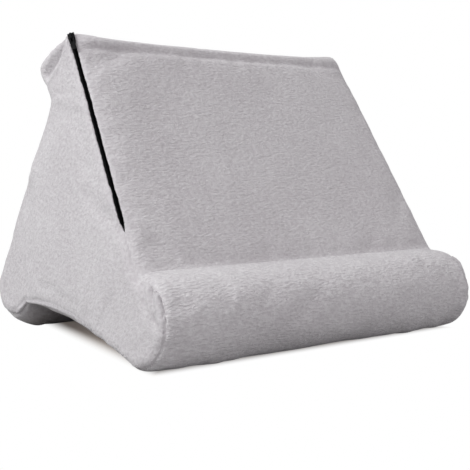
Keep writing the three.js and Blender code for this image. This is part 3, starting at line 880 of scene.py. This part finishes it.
def out_of_zip(spots):
    """Places in the part's frame, from the zip's own."""
    back = np.array(zip_frame())
    return spots @ back[:3, :3].T + back[:3, 3]


def open_slit(panel, index, sizes):
    """Pulls a panel's edge away from the zip, to leave the slit that its teeth show in."""
    lip = np.zeros(len(panel.data.vertices))
    if index in (FRONT, TOP, LEFT):
        spots = in_zip(points(panel))
        across, out, down = spots.T
        closing = np.clip((sizes.close_end - down) / (sizes.close_end - sizes.close_start), 0, 1)
        shallow = np.clip(1 + out / sizes.slit_depth, 0, 1)
        opening = np.clip(1 + down / sizes.slit_start, 0, 1)
        lip = closing * shallow * opening * np.exp(-((across / sizes.slit_reach) ** 2))
        uneven = 1 + LIP_UNEVEN * bumps(spots, LIP_PITCH)
        spots[:, 0] += (-1 if index == LEFT else 1) * sizes.slit * uneven * lip
        spots[:, 1] += sizes.lip_rise * lip
        move_points(panel, out_of_zip(spots))
    write_values(panel, "lip", lip)


def coil_row(sizes, node, name, offset):
    """A row of coil teeth: a wire wound oval along the length of its node, up to the other row's teeth."""
    spots = in_zip(points(frame["nodes"][node]))
    low, high = spots.min(axis=0), spots.max(axis=0)
    side = math.copysign(1, low[0] + high[0])
    outer_edge = max(abs(low[0]), abs(high[0]))
    half = (outer_edge - sizes.tooth_gap) / 2
    radius = (high[1] - low[1]) / 2 - sizes.coil_wire
    turns = int((high[2] - low[2]) / sizes.coil_pitch) - 1
    bpy.ops.mesh.primitive_circle_add(
        vertices=WIRE_SIDES, radius=sizes.coil_wire, location=(radius, 0, 0), rotation=(math.pi / 2, 0, 0)
    )
    coil = bpy.context.object
    coil.name = name
    bpy.ops.object.transform_apply(location=True, rotation=True)
    modify(
        coil,
        "SCREW",
        angle=FULL_TURN,
        screw_offset=sizes.coil_pitch,
        iterations=turns,
        steps=TURN_STEPS,
        render_steps=TURN_STEPS,
        use_merge_vertices=False,
    )
    with editing(coil):
        bpy.ops.mesh.select_mode(type="EDGE")
        bpy.ops.mesh.select_all(action="DESELECT")
        bpy.ops.mesh.select_non_manifold()
        bpy.ops.mesh.fill()
        bpy.ops.mesh.select_all(action="SELECT")
        bpy.ops.mesh.normals_make_consistent(inside=False)
    wound = points(coil)
    wound[:, 0] *= half / (radius + sizes.coil_wire)
    start = low[2] + (0.5 + offset) * sizes.coil_pitch
    wound += (side * (sizes.tooth_gap + half), (low[1] + high[1]) / 2, start)
    move_points(coil, out_of_zip(wound))
    only(coil)
    bpy.ops.object.shade_smooth()
    return coil


def tape(sizes, node, name):
    """A zip tape that reaches from under the teeth to under the plush lip."""
    obj = rounded_copy(node, name, TAPE_ROUND)
    spots = in_zip(points(obj))
    side = np.sign(spots[:, 0].mean())
    width = np.abs(spots[:, 0])
    share = (width - width.min()) / (width.max() - width.min())
    spots[:, 0] = side * (sizes.tooth_gap + share * (sizes.tape_half - sizes.tooth_gap))
    spots[:, 2] = np.maximum(spots[:, 2], sizes.tape_start)
    move_points(obj, out_of_zip(spots))
    return obj


def block(name, extents, middle, radius=0):
    """A block in the zip's own frame, with its edges rounded to a radius."""
    bpy.ops.object.select_all(action="DESELECT")
    bpy.ops.mesh.primitive_cube_add(size=1, scale=extents)
    obj = bpy.context.object
    obj.name = name
    bpy.ops.object.transform_apply(scale=True)
    if radius:
        modify(obj, "BEVEL", width=radius, segments=2)
    move_points(obj, out_of_zip(points(obj) + middle))
    return obj


def shade_strip(sizes):
    """A black strip behind the zip. It is painted shade, standing in for the shade in the slit between the
    teeth.
    """
    extents = (2 * sizes.shade_strip_half, sizes.shade_strip_thick, sizes.close_end - sizes.shade_strip_half)
    middle = (0, -sizes.shade_strip_level, sizes.close_end / 2)
    return block("zip_backing_woven", extents, middle, sizes.shade_strip_thick / 4)


def rounded_copy(node, name, radius):
    """A copy of a small hard node with its sharp edges rounded."""
    obj = copy_of_node(node, name)
    modify(obj, "BEVEL", width=radius, segments=3, limit_method="ANGLE", angle_limit=SHARP_ANGLE)
    smooth(obj, METAL_SMOOTH)
    return obj


# Stitches


def seam_outline(stretch, shares, inside):
    """Places (y, z) along a stretch's end seam, a distance inside it."""
    places, outward = stretch.at(shares)
    return places - outward * (stretch.drawn_at(shares) + inside)[:, None]


def stitches(paths, name, sizes):
    """A row of stitches along each path of (place, normal) pairs, as one piece."""
    bpy.ops.object.select_all(action="DESELECT")
    made = []
    for path in paths:
        for (start, normal), (end, _) in zip(path[:-1], path[1:]):
            along = end - start
            turn = along.to_track_quat("X", "Z")
            bpy.ops.mesh.primitive_uv_sphere_add(
                segments=STITCH_SIDES,
                ring_count=STITCH_RINGS,
                radius=1,
                location=(start + end) / 2 + normal * sizes.stitch_lift,
                rotation=turn.to_euler(),
                scale=(along.length * STITCH_SHARE / 2, sizes.thread, sizes.thread),
            )
            made.append(bpy.context.object)
    only(*made)
    bpy.ops.object.join()
    bpy.ops.object.transform_apply(location=True, rotation=True, scale=True)
    bpy.ops.object.shade_smooth()
    made[0].name = name
    return made[0]


def even_steps(spots, step):
    """Places an even step apart along a path."""
    reach = path_reach(spots)
    return along_path(np.linspace(0, reach[-1], round(reach[-1] / step) + 1), reach, spots)


def on_side(panel, spots, end):
    """The places (y, z) carried onto a side panel's outer face, each with the face's normal."""
    tree = BVHTree.FromObject(panel, bpy.context.evaluated_depsgraph_get())
    outside = end * 2 * CAD_BOX[1][0]
    found = [tree.ray_cast((outside, *spot), (-end, 0, 0)) for spot in spots]
    return [(hit[0], hit[1]) for hit in found if hit[0]]


# Padding


def trench(sizes):
    """A block that cuts the room for the zip out of the padding."""
    extents = (sizes.trench_width, sizes.trench_height, sizes.trench_length)
    level = sizes.trench_height / 2 - sizes.trench_depth
    return block("trench", extents, (0, level, sizes.trench_length / 2 - sizes.trench_start))


def padding(context, node, name, swell):
    """A filling's solid with even faces, drawn in a little, swollen as cloth and cut free of the zip."""
    sizes = context.scene.cushion_sizes
    obj = copy_of_node(node, name)
    modify(obj, "REMESH", mode="VOXEL", voxel_size=PADDING_PITCH)
    move_points(obj, points(obj) - normals(obj) * sizes.padding_gap)
    modify(obj, "SMOOTH", factor=0.5, iterations=4)
    if swell:
        free = np.zeros(len(obj.data.vertices), dtype=bool)
        stuff(obj, sizes, free, np.full(len(free), swell))
    form = bpy.data.objects[COVER_FORM]
    modify(obj, "SHRINKWRAP", target=form, wrap_mode="INSIDE", offset=sizes.fabric + sizes.padding_gap)
    modify(obj, "SMOOTH", factor=0.5, iterations=2)
    subdivide(obj)
    room = trench(context.scene.zip_sizes)
    modify(obj, "BOOLEAN", object=room, operation="DIFFERENCE", solver="EXACT")
    bpy.data.objects.remove(room)
    smooth(obj, PADDING_SMOOTH)
    return obj


# Materials


class Wire:
    """A node's output, which can take part in expressions."""

    def __init__(self, finish, socket):
        self.finish = finish
        self.socket = socket

    def maths(self, operation, first, second):
        return self.finish.node("ShaderNodeMath", {"operation": operation}, {0: first, 1: second})

    def __add__(self, other):
        return self.maths("ADD", self, other)

    def __radd__(self, other):
        return self.maths("ADD", other, self)

    def __sub__(self, other):
        return self.maths("SUBTRACT", self, other)

    def __rsub__(self, other):
        return self.maths("SUBTRACT", other, self)

    def __mul__(self, other):
        return self.maths("MULTIPLY", self, other)

    def __rmul__(self, other):
        return self.maths("MULTIPLY", other, self)

    def __abs__(self):
        return self.maths("ABSOLUTE", self, 0)

    def larger(self, other):
        return self.maths("MAXIMUM", self, other)


class Finish:
    """A material or a world in the making."""

    MIX_FACTOR, MIX_FIRST, MIX_SECOND, MIX_RESULT = 0, 6, 7, 2

    def __init__(self, name, owners="materials"):
        self.material = getattr(bpy.data, owners).new(name)
        self.material.use_nodes = True
        self.tree = self.material.node_tree
        self.tree.nodes.clear()

    def node(self, kind, settings=None, inputs=None, output=0):
        """Adds a node, sets it up, then fills or links its sockets, and gives one of its outputs."""
        made = self.tree.nodes.new(kind)
        for name, value in (settings or {}).items():
            setattr(made, name, value)
        for name, value in (inputs or {}).items():
            if isinstance(value, Wire):
                self.tree.links.new(value.socket, made.inputs[name])
            else:
                made.inputs[name].default_value = value
        return Wire(self, made.outputs[output]) if made.outputs else None

    def place(self, stretch=(1, 1, 1)):
        """Object coordinates, stretched along the axes."""
        spot = self.node("ShaderNodeTexCoord", output="Object")
        return self.node("ShaderNodeMapping", {"vector_type": "POINT"}, {"Vector": spot, "Scale": stretch})

    def clouds(self, place, scale, detail=2.0, roughness=0.5, distortion=0.0):
        """Soft noise from 0 to 1."""
        inputs = {
            "Vector": place,
            "Scale": scale,
            "Detail": detail,
            "Roughness": roughness,
            "Distortion": distortion,
        }
        return self.node("ShaderNodeTexNoise", {"noise_dimensions": "3D"}, inputs)

    def between(self, value, low, high):
        """The value carried from low...high to 0...1, and kept there."""
        return self.node(
            "ShaderNodeMapRange",
            {"interpolation_type": "SMOOTHSTEP"},
            {"Value": value, "From Min": low, "From Max": high},
        )

    def blend(self, factor, first, second):
        """A colour between two."""
        return self.node(
            "ShaderNodeMix",
            {"data_type": "RGBA"},
            {self.MIX_FACTOR: factor, self.MIX_FIRST: first, self.MIX_SECOND: second},
            self.MIX_RESULT,
        )

    def bump(self, height, strength, distance):
        inputs = {"Height": height, "Strength": strength, "Distance": distance}
        return self.node("ShaderNodeBump", inputs=inputs)

    def surface(self, **inputs):
        """Ends the material in a Principled shader with these sockets."""
        sockets = {name.replace("_", " "): value for name, value in inputs.items()}
        shader = self.node("ShaderNodeBsdfPrincipled", inputs=sockets)
        self.node("ShaderNodeOutputMaterial", inputs={"Surface": shader})
        return self.material


def opaque(shade, level=1):
    """A colour with its alpha, made lighter or darker."""
    return (*[level * part for part in shade], 1.0)


def plush(look, name):
    """Short pile: soft patches where the nap turns, fine ripples across it, and a pale sheen."""
    finish = Finish(name)
    along, ripple = RIPPLES[name]
    patches = finish.clouds(finish.place(), scale=14.0, distortion=0.4)
    ripples = finish.clouds(finish.place(along), scale=1.0, detail=1.0, distortion=0.2)
    tufts = finish.clouds(finish.place(), scale=380.0, roughness=0.6)
    fibres = finish.clouds(finish.place(), scale=1300.0, detail=3.0, roughness=0.75)
    turned = finish.between(patches, 0.3, 0.7)
    ruffled = finish.between(ripples, 0.25, 0.75)
    tufted = finish.between(tufts, 0.25, 0.75)
    pale = turned * 0.15 + ruffled * (0.45 * ripple) + tufted * 0.4 + fibres * 0.3
    shade = finish.blend(pale, opaque(look.dark), opaque(look.light))
    height = ruffled * (0.8 * ripple) + tufted * 0.25 + fibres * 0.45
    return finish.surface(
        Base_Color=shade,
        Roughness=0.95 - ruffled * 0.1,
        Normal=finish.bump(height, strength=0.55, distance=0.0013),
        Sheen_Weight=0.45,
        Sheen_Roughness=0.4,
        Sheen_Tint=(1.0, 0.99, 1.0, 1.0),
        Specular_IOR_Level=0.1,
    )


def thread_finish(look):
    """Pale sewing thread."""
    finish = Finish("sewing_thread")
    twist = finish.clouds(finish.place(), scale=1500.0)
    return finish.surface(
        Base_Color=finish.blend(twist, opaque(look.dark), opaque(look.thread)),
        Roughness=0.7 + twist * 0.2,
        Normal=finish.bump(twist, strength=0.4, distance=0.0002),
    )


def foam_finish(look):
    """Open-cell foam with its pores: the bump pits them, and they are painted darker as shade."""
    finish = Finish("open_cell_foam")
    place = finish.place()
    pores = finish.node("ShaderNodeTexVoronoi", inputs={"Vector": place, "Scale": 900.0})
    patches = finish.clouds(place, scale=30.0, detail=3.0)
    # the pores are pitted by the bump and painted darker as the shade in them; the patches are random tone
    pore_pits_and_shade = finish.between(pores, 0.1, 0.6)
    return finish.surface(
        Base_Color=finish.blend(pore_pits_and_shade * 0.6 + patches * 0.5, opaque(look.foam, 0.6), opaque(look.foam)),
        Roughness=0.95 - pore_pits_and_shade * 0.1,
        Normal=finish.bump(pore_pits_and_shade, strength=0.4, distance=0.0006),
    )


def fibre_finish(look):
    """Loose polyester fibre in tufts."""
    finish = Finish("polyester_fibre")
    tufts = finish.clouds(finish.place(), scale=90.0, detail=4.0, roughness=0.6, distortion=1.2)
    lying = finish.place((1.0, 4.0, 1.0))
    hairs = finish.clouds(lying, scale=500.0, detail=3.0, roughness=0.7, distortion=2.0)
    return finish.surface(
        Base_Color=finish.blend(finish.between(tufts, 0.3, 0.6), opaque(look.fibre, 0.8), opaque(look.fibre)),
        Roughness=0.9 + tufts * 0.1,
        Normal=finish.bump(tufts + hairs * 0.5, strength=0.6, distance=0.002),
    )


def tape_finish(look):
    """Black woven tape: fine ribs across its length."""
    finish = Finish("woven_tape")
    weave = finish.node(
        "ShaderNodeTexWave",
        {"wave_type": "BANDS", "bands_direction": "Z"},
        {"Vector": finish.place(), "Scale": 700.0, "Distortion": 1.0, "Detail": 1.0},
    )
    lint = finish.clouds(finish.place(), scale=300.0, detail=3.0)
    return finish.surface(
        Base_Color=finish.blend(weave * 0.4 + lint * 0.3, opaque(look.tape), opaque(look.tape, 4)),
        Roughness=0.9 - weave * 0.15,
        Normal=finish.bump(weave, strength=0.5, distance=0.0002),
        Specular_IOR_Level=0.1,
    )


def coil_finish(look):
    """Black nylon, a little scuffed."""
    finish = Finish("nylon_coil")
    scuffs = finish.clouds(finish.place(), scale=900.0, detail=3.0)
    return finish.surface(
        Base_Color=finish.blend(finish.between(scuffs, 0.45, 0.8), opaque(look.coil), opaque(look.coil, 3)),
        Roughness=0.5 + scuffs * 0.2,
        Normal=finish.bump(scuffs, strength=0.2, distance=0.0001),
        Specular_IOR_Level=0.15,
    )


def metal_finish(look):
    """Black paint on metal, worn through in small spots."""
    finish = Finish("painted_metal")
    place = finish.place()
    spots = finish.clouds(place, scale=420.0, detail=4.0, roughness=0.65)
    worn = finish.between(spots, 0.70, 0.80)
    grain = finish.clouds(place, scale=2400.0)
    return finish.surface(
        Base_Color=finish.blend(worn * 0.7, opaque(look.paint), opaque(look.bare)),
        Metallic=worn * 0.9,
        Roughness=0.5 + grain * 0.16,
        Normal=finish.bump(grain - worn * 0.5, strength=0.15, distance=0.0001),
        Specular_IOR_Level=0.06,
    )


def stage_finish(studio):
    """A white floor that keeps the stand's shadow, and is plain white away from it."""
    finish = Finish("studio_floor")
    spot = finish.node("ShaderNodeTexCoord", output="Object")
    sides = [finish.node("ShaderNodeSeparateXYZ", inputs={"Vector": spot}, output=axis) for axis in "XY"]
    half_width_shaded, half_depth_shaded = [half - studio.shadow_inset for half in CAD_BOX[1][:2]]
    beside = abs(sides[0]) + sides[1] * studio.shadow_slant - half_width_shaded
    rear_shift = (studio.shadow_inset + studio.shadow_rear) / 2
    around = abs(sides[1] - rear_shift) - (half_depth_shaded + rear_shift)
    away = finish.between(beside.larger(around), -studio.shadow_fade, studio.shadow_fade)
    clear = (abs(sides[1]) - half_depth_shaded).larger(abs(sides[0]) - CAD_BOX[1][0])
    open_floor = finish.between(clear, *BOUNCE_EDGE)
    seen = finish.node("ShaderNodeLightPath", output="Is Camera Ray")
    bounced = finish.blend(open_floor, opaque(studio.under_bounce), opaque(studio.open_bounce))
    # near the stand the camera sees the floor painted the brown tint of its shadow
    shade = finish.blend(seen, bounced, opaque(studio.shadow_tint))
    paper = finish.node("ShaderNodeBsdfDiffuse", inputs={"Color": shade})
    white = finish.node("ShaderNodeEmission", inputs={"Color": WHITE, "Strength": 1.0})
    # painted light: the floor glows faintly with the shadow's tint, which lightens its shadow
    painted_shadow_glow = finish.node("ShaderNodeEmission", inputs={"Color": opaque(studio.shadow_tint), "Strength": 1.0})
    shaded = finish.node("ShaderNodeMixShader", inputs={0: seen * studio.shadow_light, 1: paper, 2: painted_shadow_glow})
    mixed = finish.node("ShaderNodeMixShader", inputs={0: away * seen, 1: shaded, 2: white})
    finish.node("ShaderNodeOutputMaterial", inputs={"Surface": mixed})
    return finish.material


def studio_air(studio):
    """A world that is white where it is seen, and lights the stand softly from above."""
    finish = Finish("studio_air", "worlds")
    path = "ShaderNodeLightPath"
    seen = finish.node(path, output="Is Camera Ray") + finish.node(path, output="Is Glossy Ray")
    shown = finish.between(seen + finish.node(path, output="Is Transmission Ray"), 0.0, 1.0)
    spot = finish.node("ShaderNodeTexCoord", output="Generated")
    rise = finish.node("ShaderNodeSeparateXYZ", inputs={"Vector": spot}, output="Z")
    low, high, plain = [
        finish.node("ShaderNodeBackground", inputs={"Color": WHITE, "Strength": level})
        for level in (studio.ambient_low, studio.ambient, 1.0)
    ]
    soft = finish.node("ShaderNodeMixShader", inputs={0: finish.between(rise, *RISE_EDGE), 1: low, 2: high})
    mixed = finish.node("ShaderNodeMixShader", inputs={0: shown, 1: soft, 2: plain})
    finish.node("ShaderNodeOutputWorld", inputs={"Surface": mixed})
    return finish.material


# Operators


class CUSHION_OT_sew_cover(bpy.types.Operator):
    """Sews, stuffs and parts the eight plush panels of the cover"""

    bl_idname = "cushion_stand.sew_cover"
    bl_label = "Sew Cover"

    def execute(self, context):
        sizes = context.scene.cushion_sizes
        bpy.ops.object.select_all(action="DESELECT")
        cover = sewn_cover(sizes)
        met = panels_at_vertices(cover)
        swell = np.where(met[:, [LEFT, RIGHT]].any(axis=1), sizes.side_swell, sizes.swell)
        stuff(cover, sizes, met.sum(axis=1) > 1, swell)
        sag_top(cover, sizes)
        subdivide(cover)
        form = bpy.data.objects.new(COVER_FORM, cover.data.copy())
        context.scene.collection.objects.link(form)
        press_form(form, sizes)
        look = context.scene.plush_look
        along = plush(look, "plush_along")
        side = plush(look, "plush_side")
        finishes = {ROLL: plush(look, "plush_roll"), LEFT: side, RIGHT: side}
        for index, panel in enumerate(part_panels(cover)):
            open_slit(panel, index, context.scene.zip_sizes)
            thicken(panel, sizes.fabric)
            press_in(panel, index, sizes)
            smooth(panel, PLUSH_SMOOTH)
            finish = finishes.get(index, along)
            finish_piece(panel, finish, "cushion", [COVER_NODES[index]])
        return {"FINISHED"}


class CUSHION_OT_stitch(bpy.types.Operator):
    """Sews the visible stitches along the arch and round the roll's ends"""

    bl_idname = "cushion_stand.stitch"
    bl_label = "Stitch"

    def execute(self, context):
        sizes = context.scene.cushion_sizes
        section = side_section(sizes)
        thread = thread_finish(context.scene.plush_look)
        arch = seam_outline(section[UNDERSIDE], ARCH_SHARES, HEM_LINE * sizes.hem_width)
        roll = seam_outline(section[ROLL], ROLL_SHARES, sizes.roll_stitch)
        for name, path in (("arch_stitching", arch), ("roll_stitching", roll)):
            steps = even_steps(path, sizes.stitch_step)
            rows = [
                on_side(bpy.data.objects[panel], steps, end)
                for panel, end in (("left_side_plush", -1), ("right_side_plush", 1))
            ]
            finish_piece(stitches(rows, name, sizes), thread, "cushion")
        return {"FINISHED"}


class CUSHION_OT_fill(bpy.types.Operator):
    """Makes the foam wedge and the stuffing of the three ledges"""

    bl_idname = "cushion_stand.fill"
    bl_label = "Fill"

    def execute(self, context):
        look = context.scene.plush_look
        foam = padding(context, "foam_core", "foam_wedge", 0)
        finish_piece(foam, foam_finish(look), "cushion", ["foam_core"])
        fibre = fibre_finish(look)
        for node in ("front_roll_fill", "foot_ledge_fill", "top_ledge_fill"):
            stuffing = padding(context, node, node.replace("fill", "stuffing"), FIBRE_SWELL)
            finish_piece(stuffing, fibre, "cushion", [node])
        bpy.data.objects.remove(bpy.data.objects[COVER_FORM])
        return {"FINISHED"}


class CUSHION_OT_fit_zip(bpy.types.Operator):
    """Makes the zip's tapes, coil rows, stops, slider and pull tab"""

    bl_idname = "cushion_stand.fit_zip"
    bl_label = "Fit Zip"

    def execute(self, context):
        sizes = context.scene.zip_sizes
        look = context.scene.plush_look
        woven = tape_finish(look)
        nylon = coil_finish(look)
        metal = metal_finish(look)
        for side in ("front", "side"):
            node = f"zip_tape_{side}"
            finish_piece(tape(sizes, node, f"{node}_woven"), woven, "cushion", [node])
            node = f"zip_coil_{side}"
            row = coil_row(sizes, node, f"{node}_wound", 0.5 * (side == "front"))
            finish_piece(row, nylon, "cushion", [node])
        # painted shade: a black strip behind the slit between the teeth
        finish_piece(shade_strip(sizes), woven, "cushion")
        for node in ("zip_top_stop_front", "zip_top_stop_side", "zip_bottom_stop"):
            stop = rounded_copy(node, f"{node}_pressed", METAL_ROUND)
            spots = in_zip(points(stop))
            spots[:, 0] = np.clip(spots[:, 0], -sizes.stop_half, sizes.stop_half)
            spots[:, 1] -= max(0, spots[:, 1].max() + sizes.stop_level)
            move_points(stop, out_of_zip(spots))
            finish_piece(stop, metal, "cushion", [node])
        slider = rounded_copy("zip_slider", "zip_slider_cast", METAL_ROUND)
        finish_piece(slider, metal, "slider", ["zip_slider"])
        tab = rounded_copy("zip_pull_tab", "zip_pull_tab_cast", METAL_ROUND)
        finish_piece(tab, metal, "pull_tab", ["zip_pull_tab"])
        return {"FINISHED"}


class CUSHION_OT_set_stage(bpy.types.Operator):
    """Sets the floor, the lights and the camera"""

    bl_idname = "cushion_stand.set_stage"
    bl_label = "Set Stage"

    def execute(self, context):
        studio = context.scene.studio_sizes
        bpy.ops.object.select_all(action="DESELECT")
        bpy.ops.mesh.primitive_plane_add(size=studio.floor_size)
        floor = context.object
        floor.name = "studio_floor"
        floor.data.materials.append(stage_finish(studio))
        context.scene.world = studio_air(studio)
        self.lamp("key_light", Vector(studio.key_offset), studio.key_size, studio.key, studio.key_tint)
        self.lamp("fill_light", Vector(studio.fill_offset), studio.fill_size, studio.fill, studio.fill_tint)
        bpy.ops.object.camera_add(location=studio.camera_place, rotation=studio.camera_turn)
        camera = context.object
        camera.name = "photo_camera"
        camera.data.lens = studio.lens
        camera.data.sensor_width = SENSOR_WIDTH
        context.scene.camera = camera
        context.scene.view_settings.view_transform = "Standard"
        return {"FINISHED"}

    def lamp(self, name, offset, size, level, tint):
        """A square soft light at an offset from the middle of the stand. A white face that is turned to it
        shows the level as its brightness."""
        bpy.ops.object.light_add(type="AREA", location=STAND_MIDDLE + offset)
        lamp = bpy.context.object
        lamp.name = name
        lamp.rotation_euler = (-offset).to_track_quat("-Z", "Y").to_euler()
        lamp.data.size = size
        lamp.data.color = tint
        lamp.data.energy = level * math.pi**2 * offset.length_squared


class CUSHION_PT_panel(bpy.types.Panel):
    """Lists the steps and sizes of the stand"""

    bl_idname = "CUSHION_PT_panel"
    bl_label = "Tablet Cushion Stand"
    bl_space_type = "VIEW_3D"
    bl_region_type = "UI"
    bl_category = "Cushion"

    def draw(self, context):
        for step in STEPS:
            self.layout.operator(step.bl_idname)
        for group in GROUPS:
            box = self.layout.box()
            sizes = getattr(context.scene, group)
            for name in sizes.bl_rna.properties.keys():
                if name not in ("rna_type", "name"):
                    box.prop(sizes, name)


GROUPS = {
    "cushion_sizes": CushionSizes,
    "plush_look": PlushLook,
    "zip_sizes": ZipSizes,
    "studio_sizes": StudioSizes,
}
STEPS = (CUSHION_OT_sew_cover, CUSHION_OT_stitch, CUSHION_OT_fill, CUSHION_OT_fit_zip, CUSHION_OT_set_stage)
CLASSES = (*GROUPS.values(), *STEPS, CUSHION_PT_panel)


def register():
    for cls in CLASSES:
        bpy.utils.register_class(cls)
    for name, group in GROUPS.items():
        setattr(bpy.types.Scene, name, PointerProperty(type=group))


def unregister():
    for name in GROUPS:
        delattr(bpy.types.Scene, name)
    for cls in reversed(CLASSES):
        bpy.utils.unregister_class(cls)


def main():
    register()
    bpy.ops.cushion_stand.sew_cover()
    bpy.ops.cushion_stand.stitch()
    bpy.ops.cushion_stand.fill()
    bpy.ops.cushion_stand.fit_zip()
    bpy.ops.cushion_stand.set_stage()


if __name__ == "__main__":
    main()
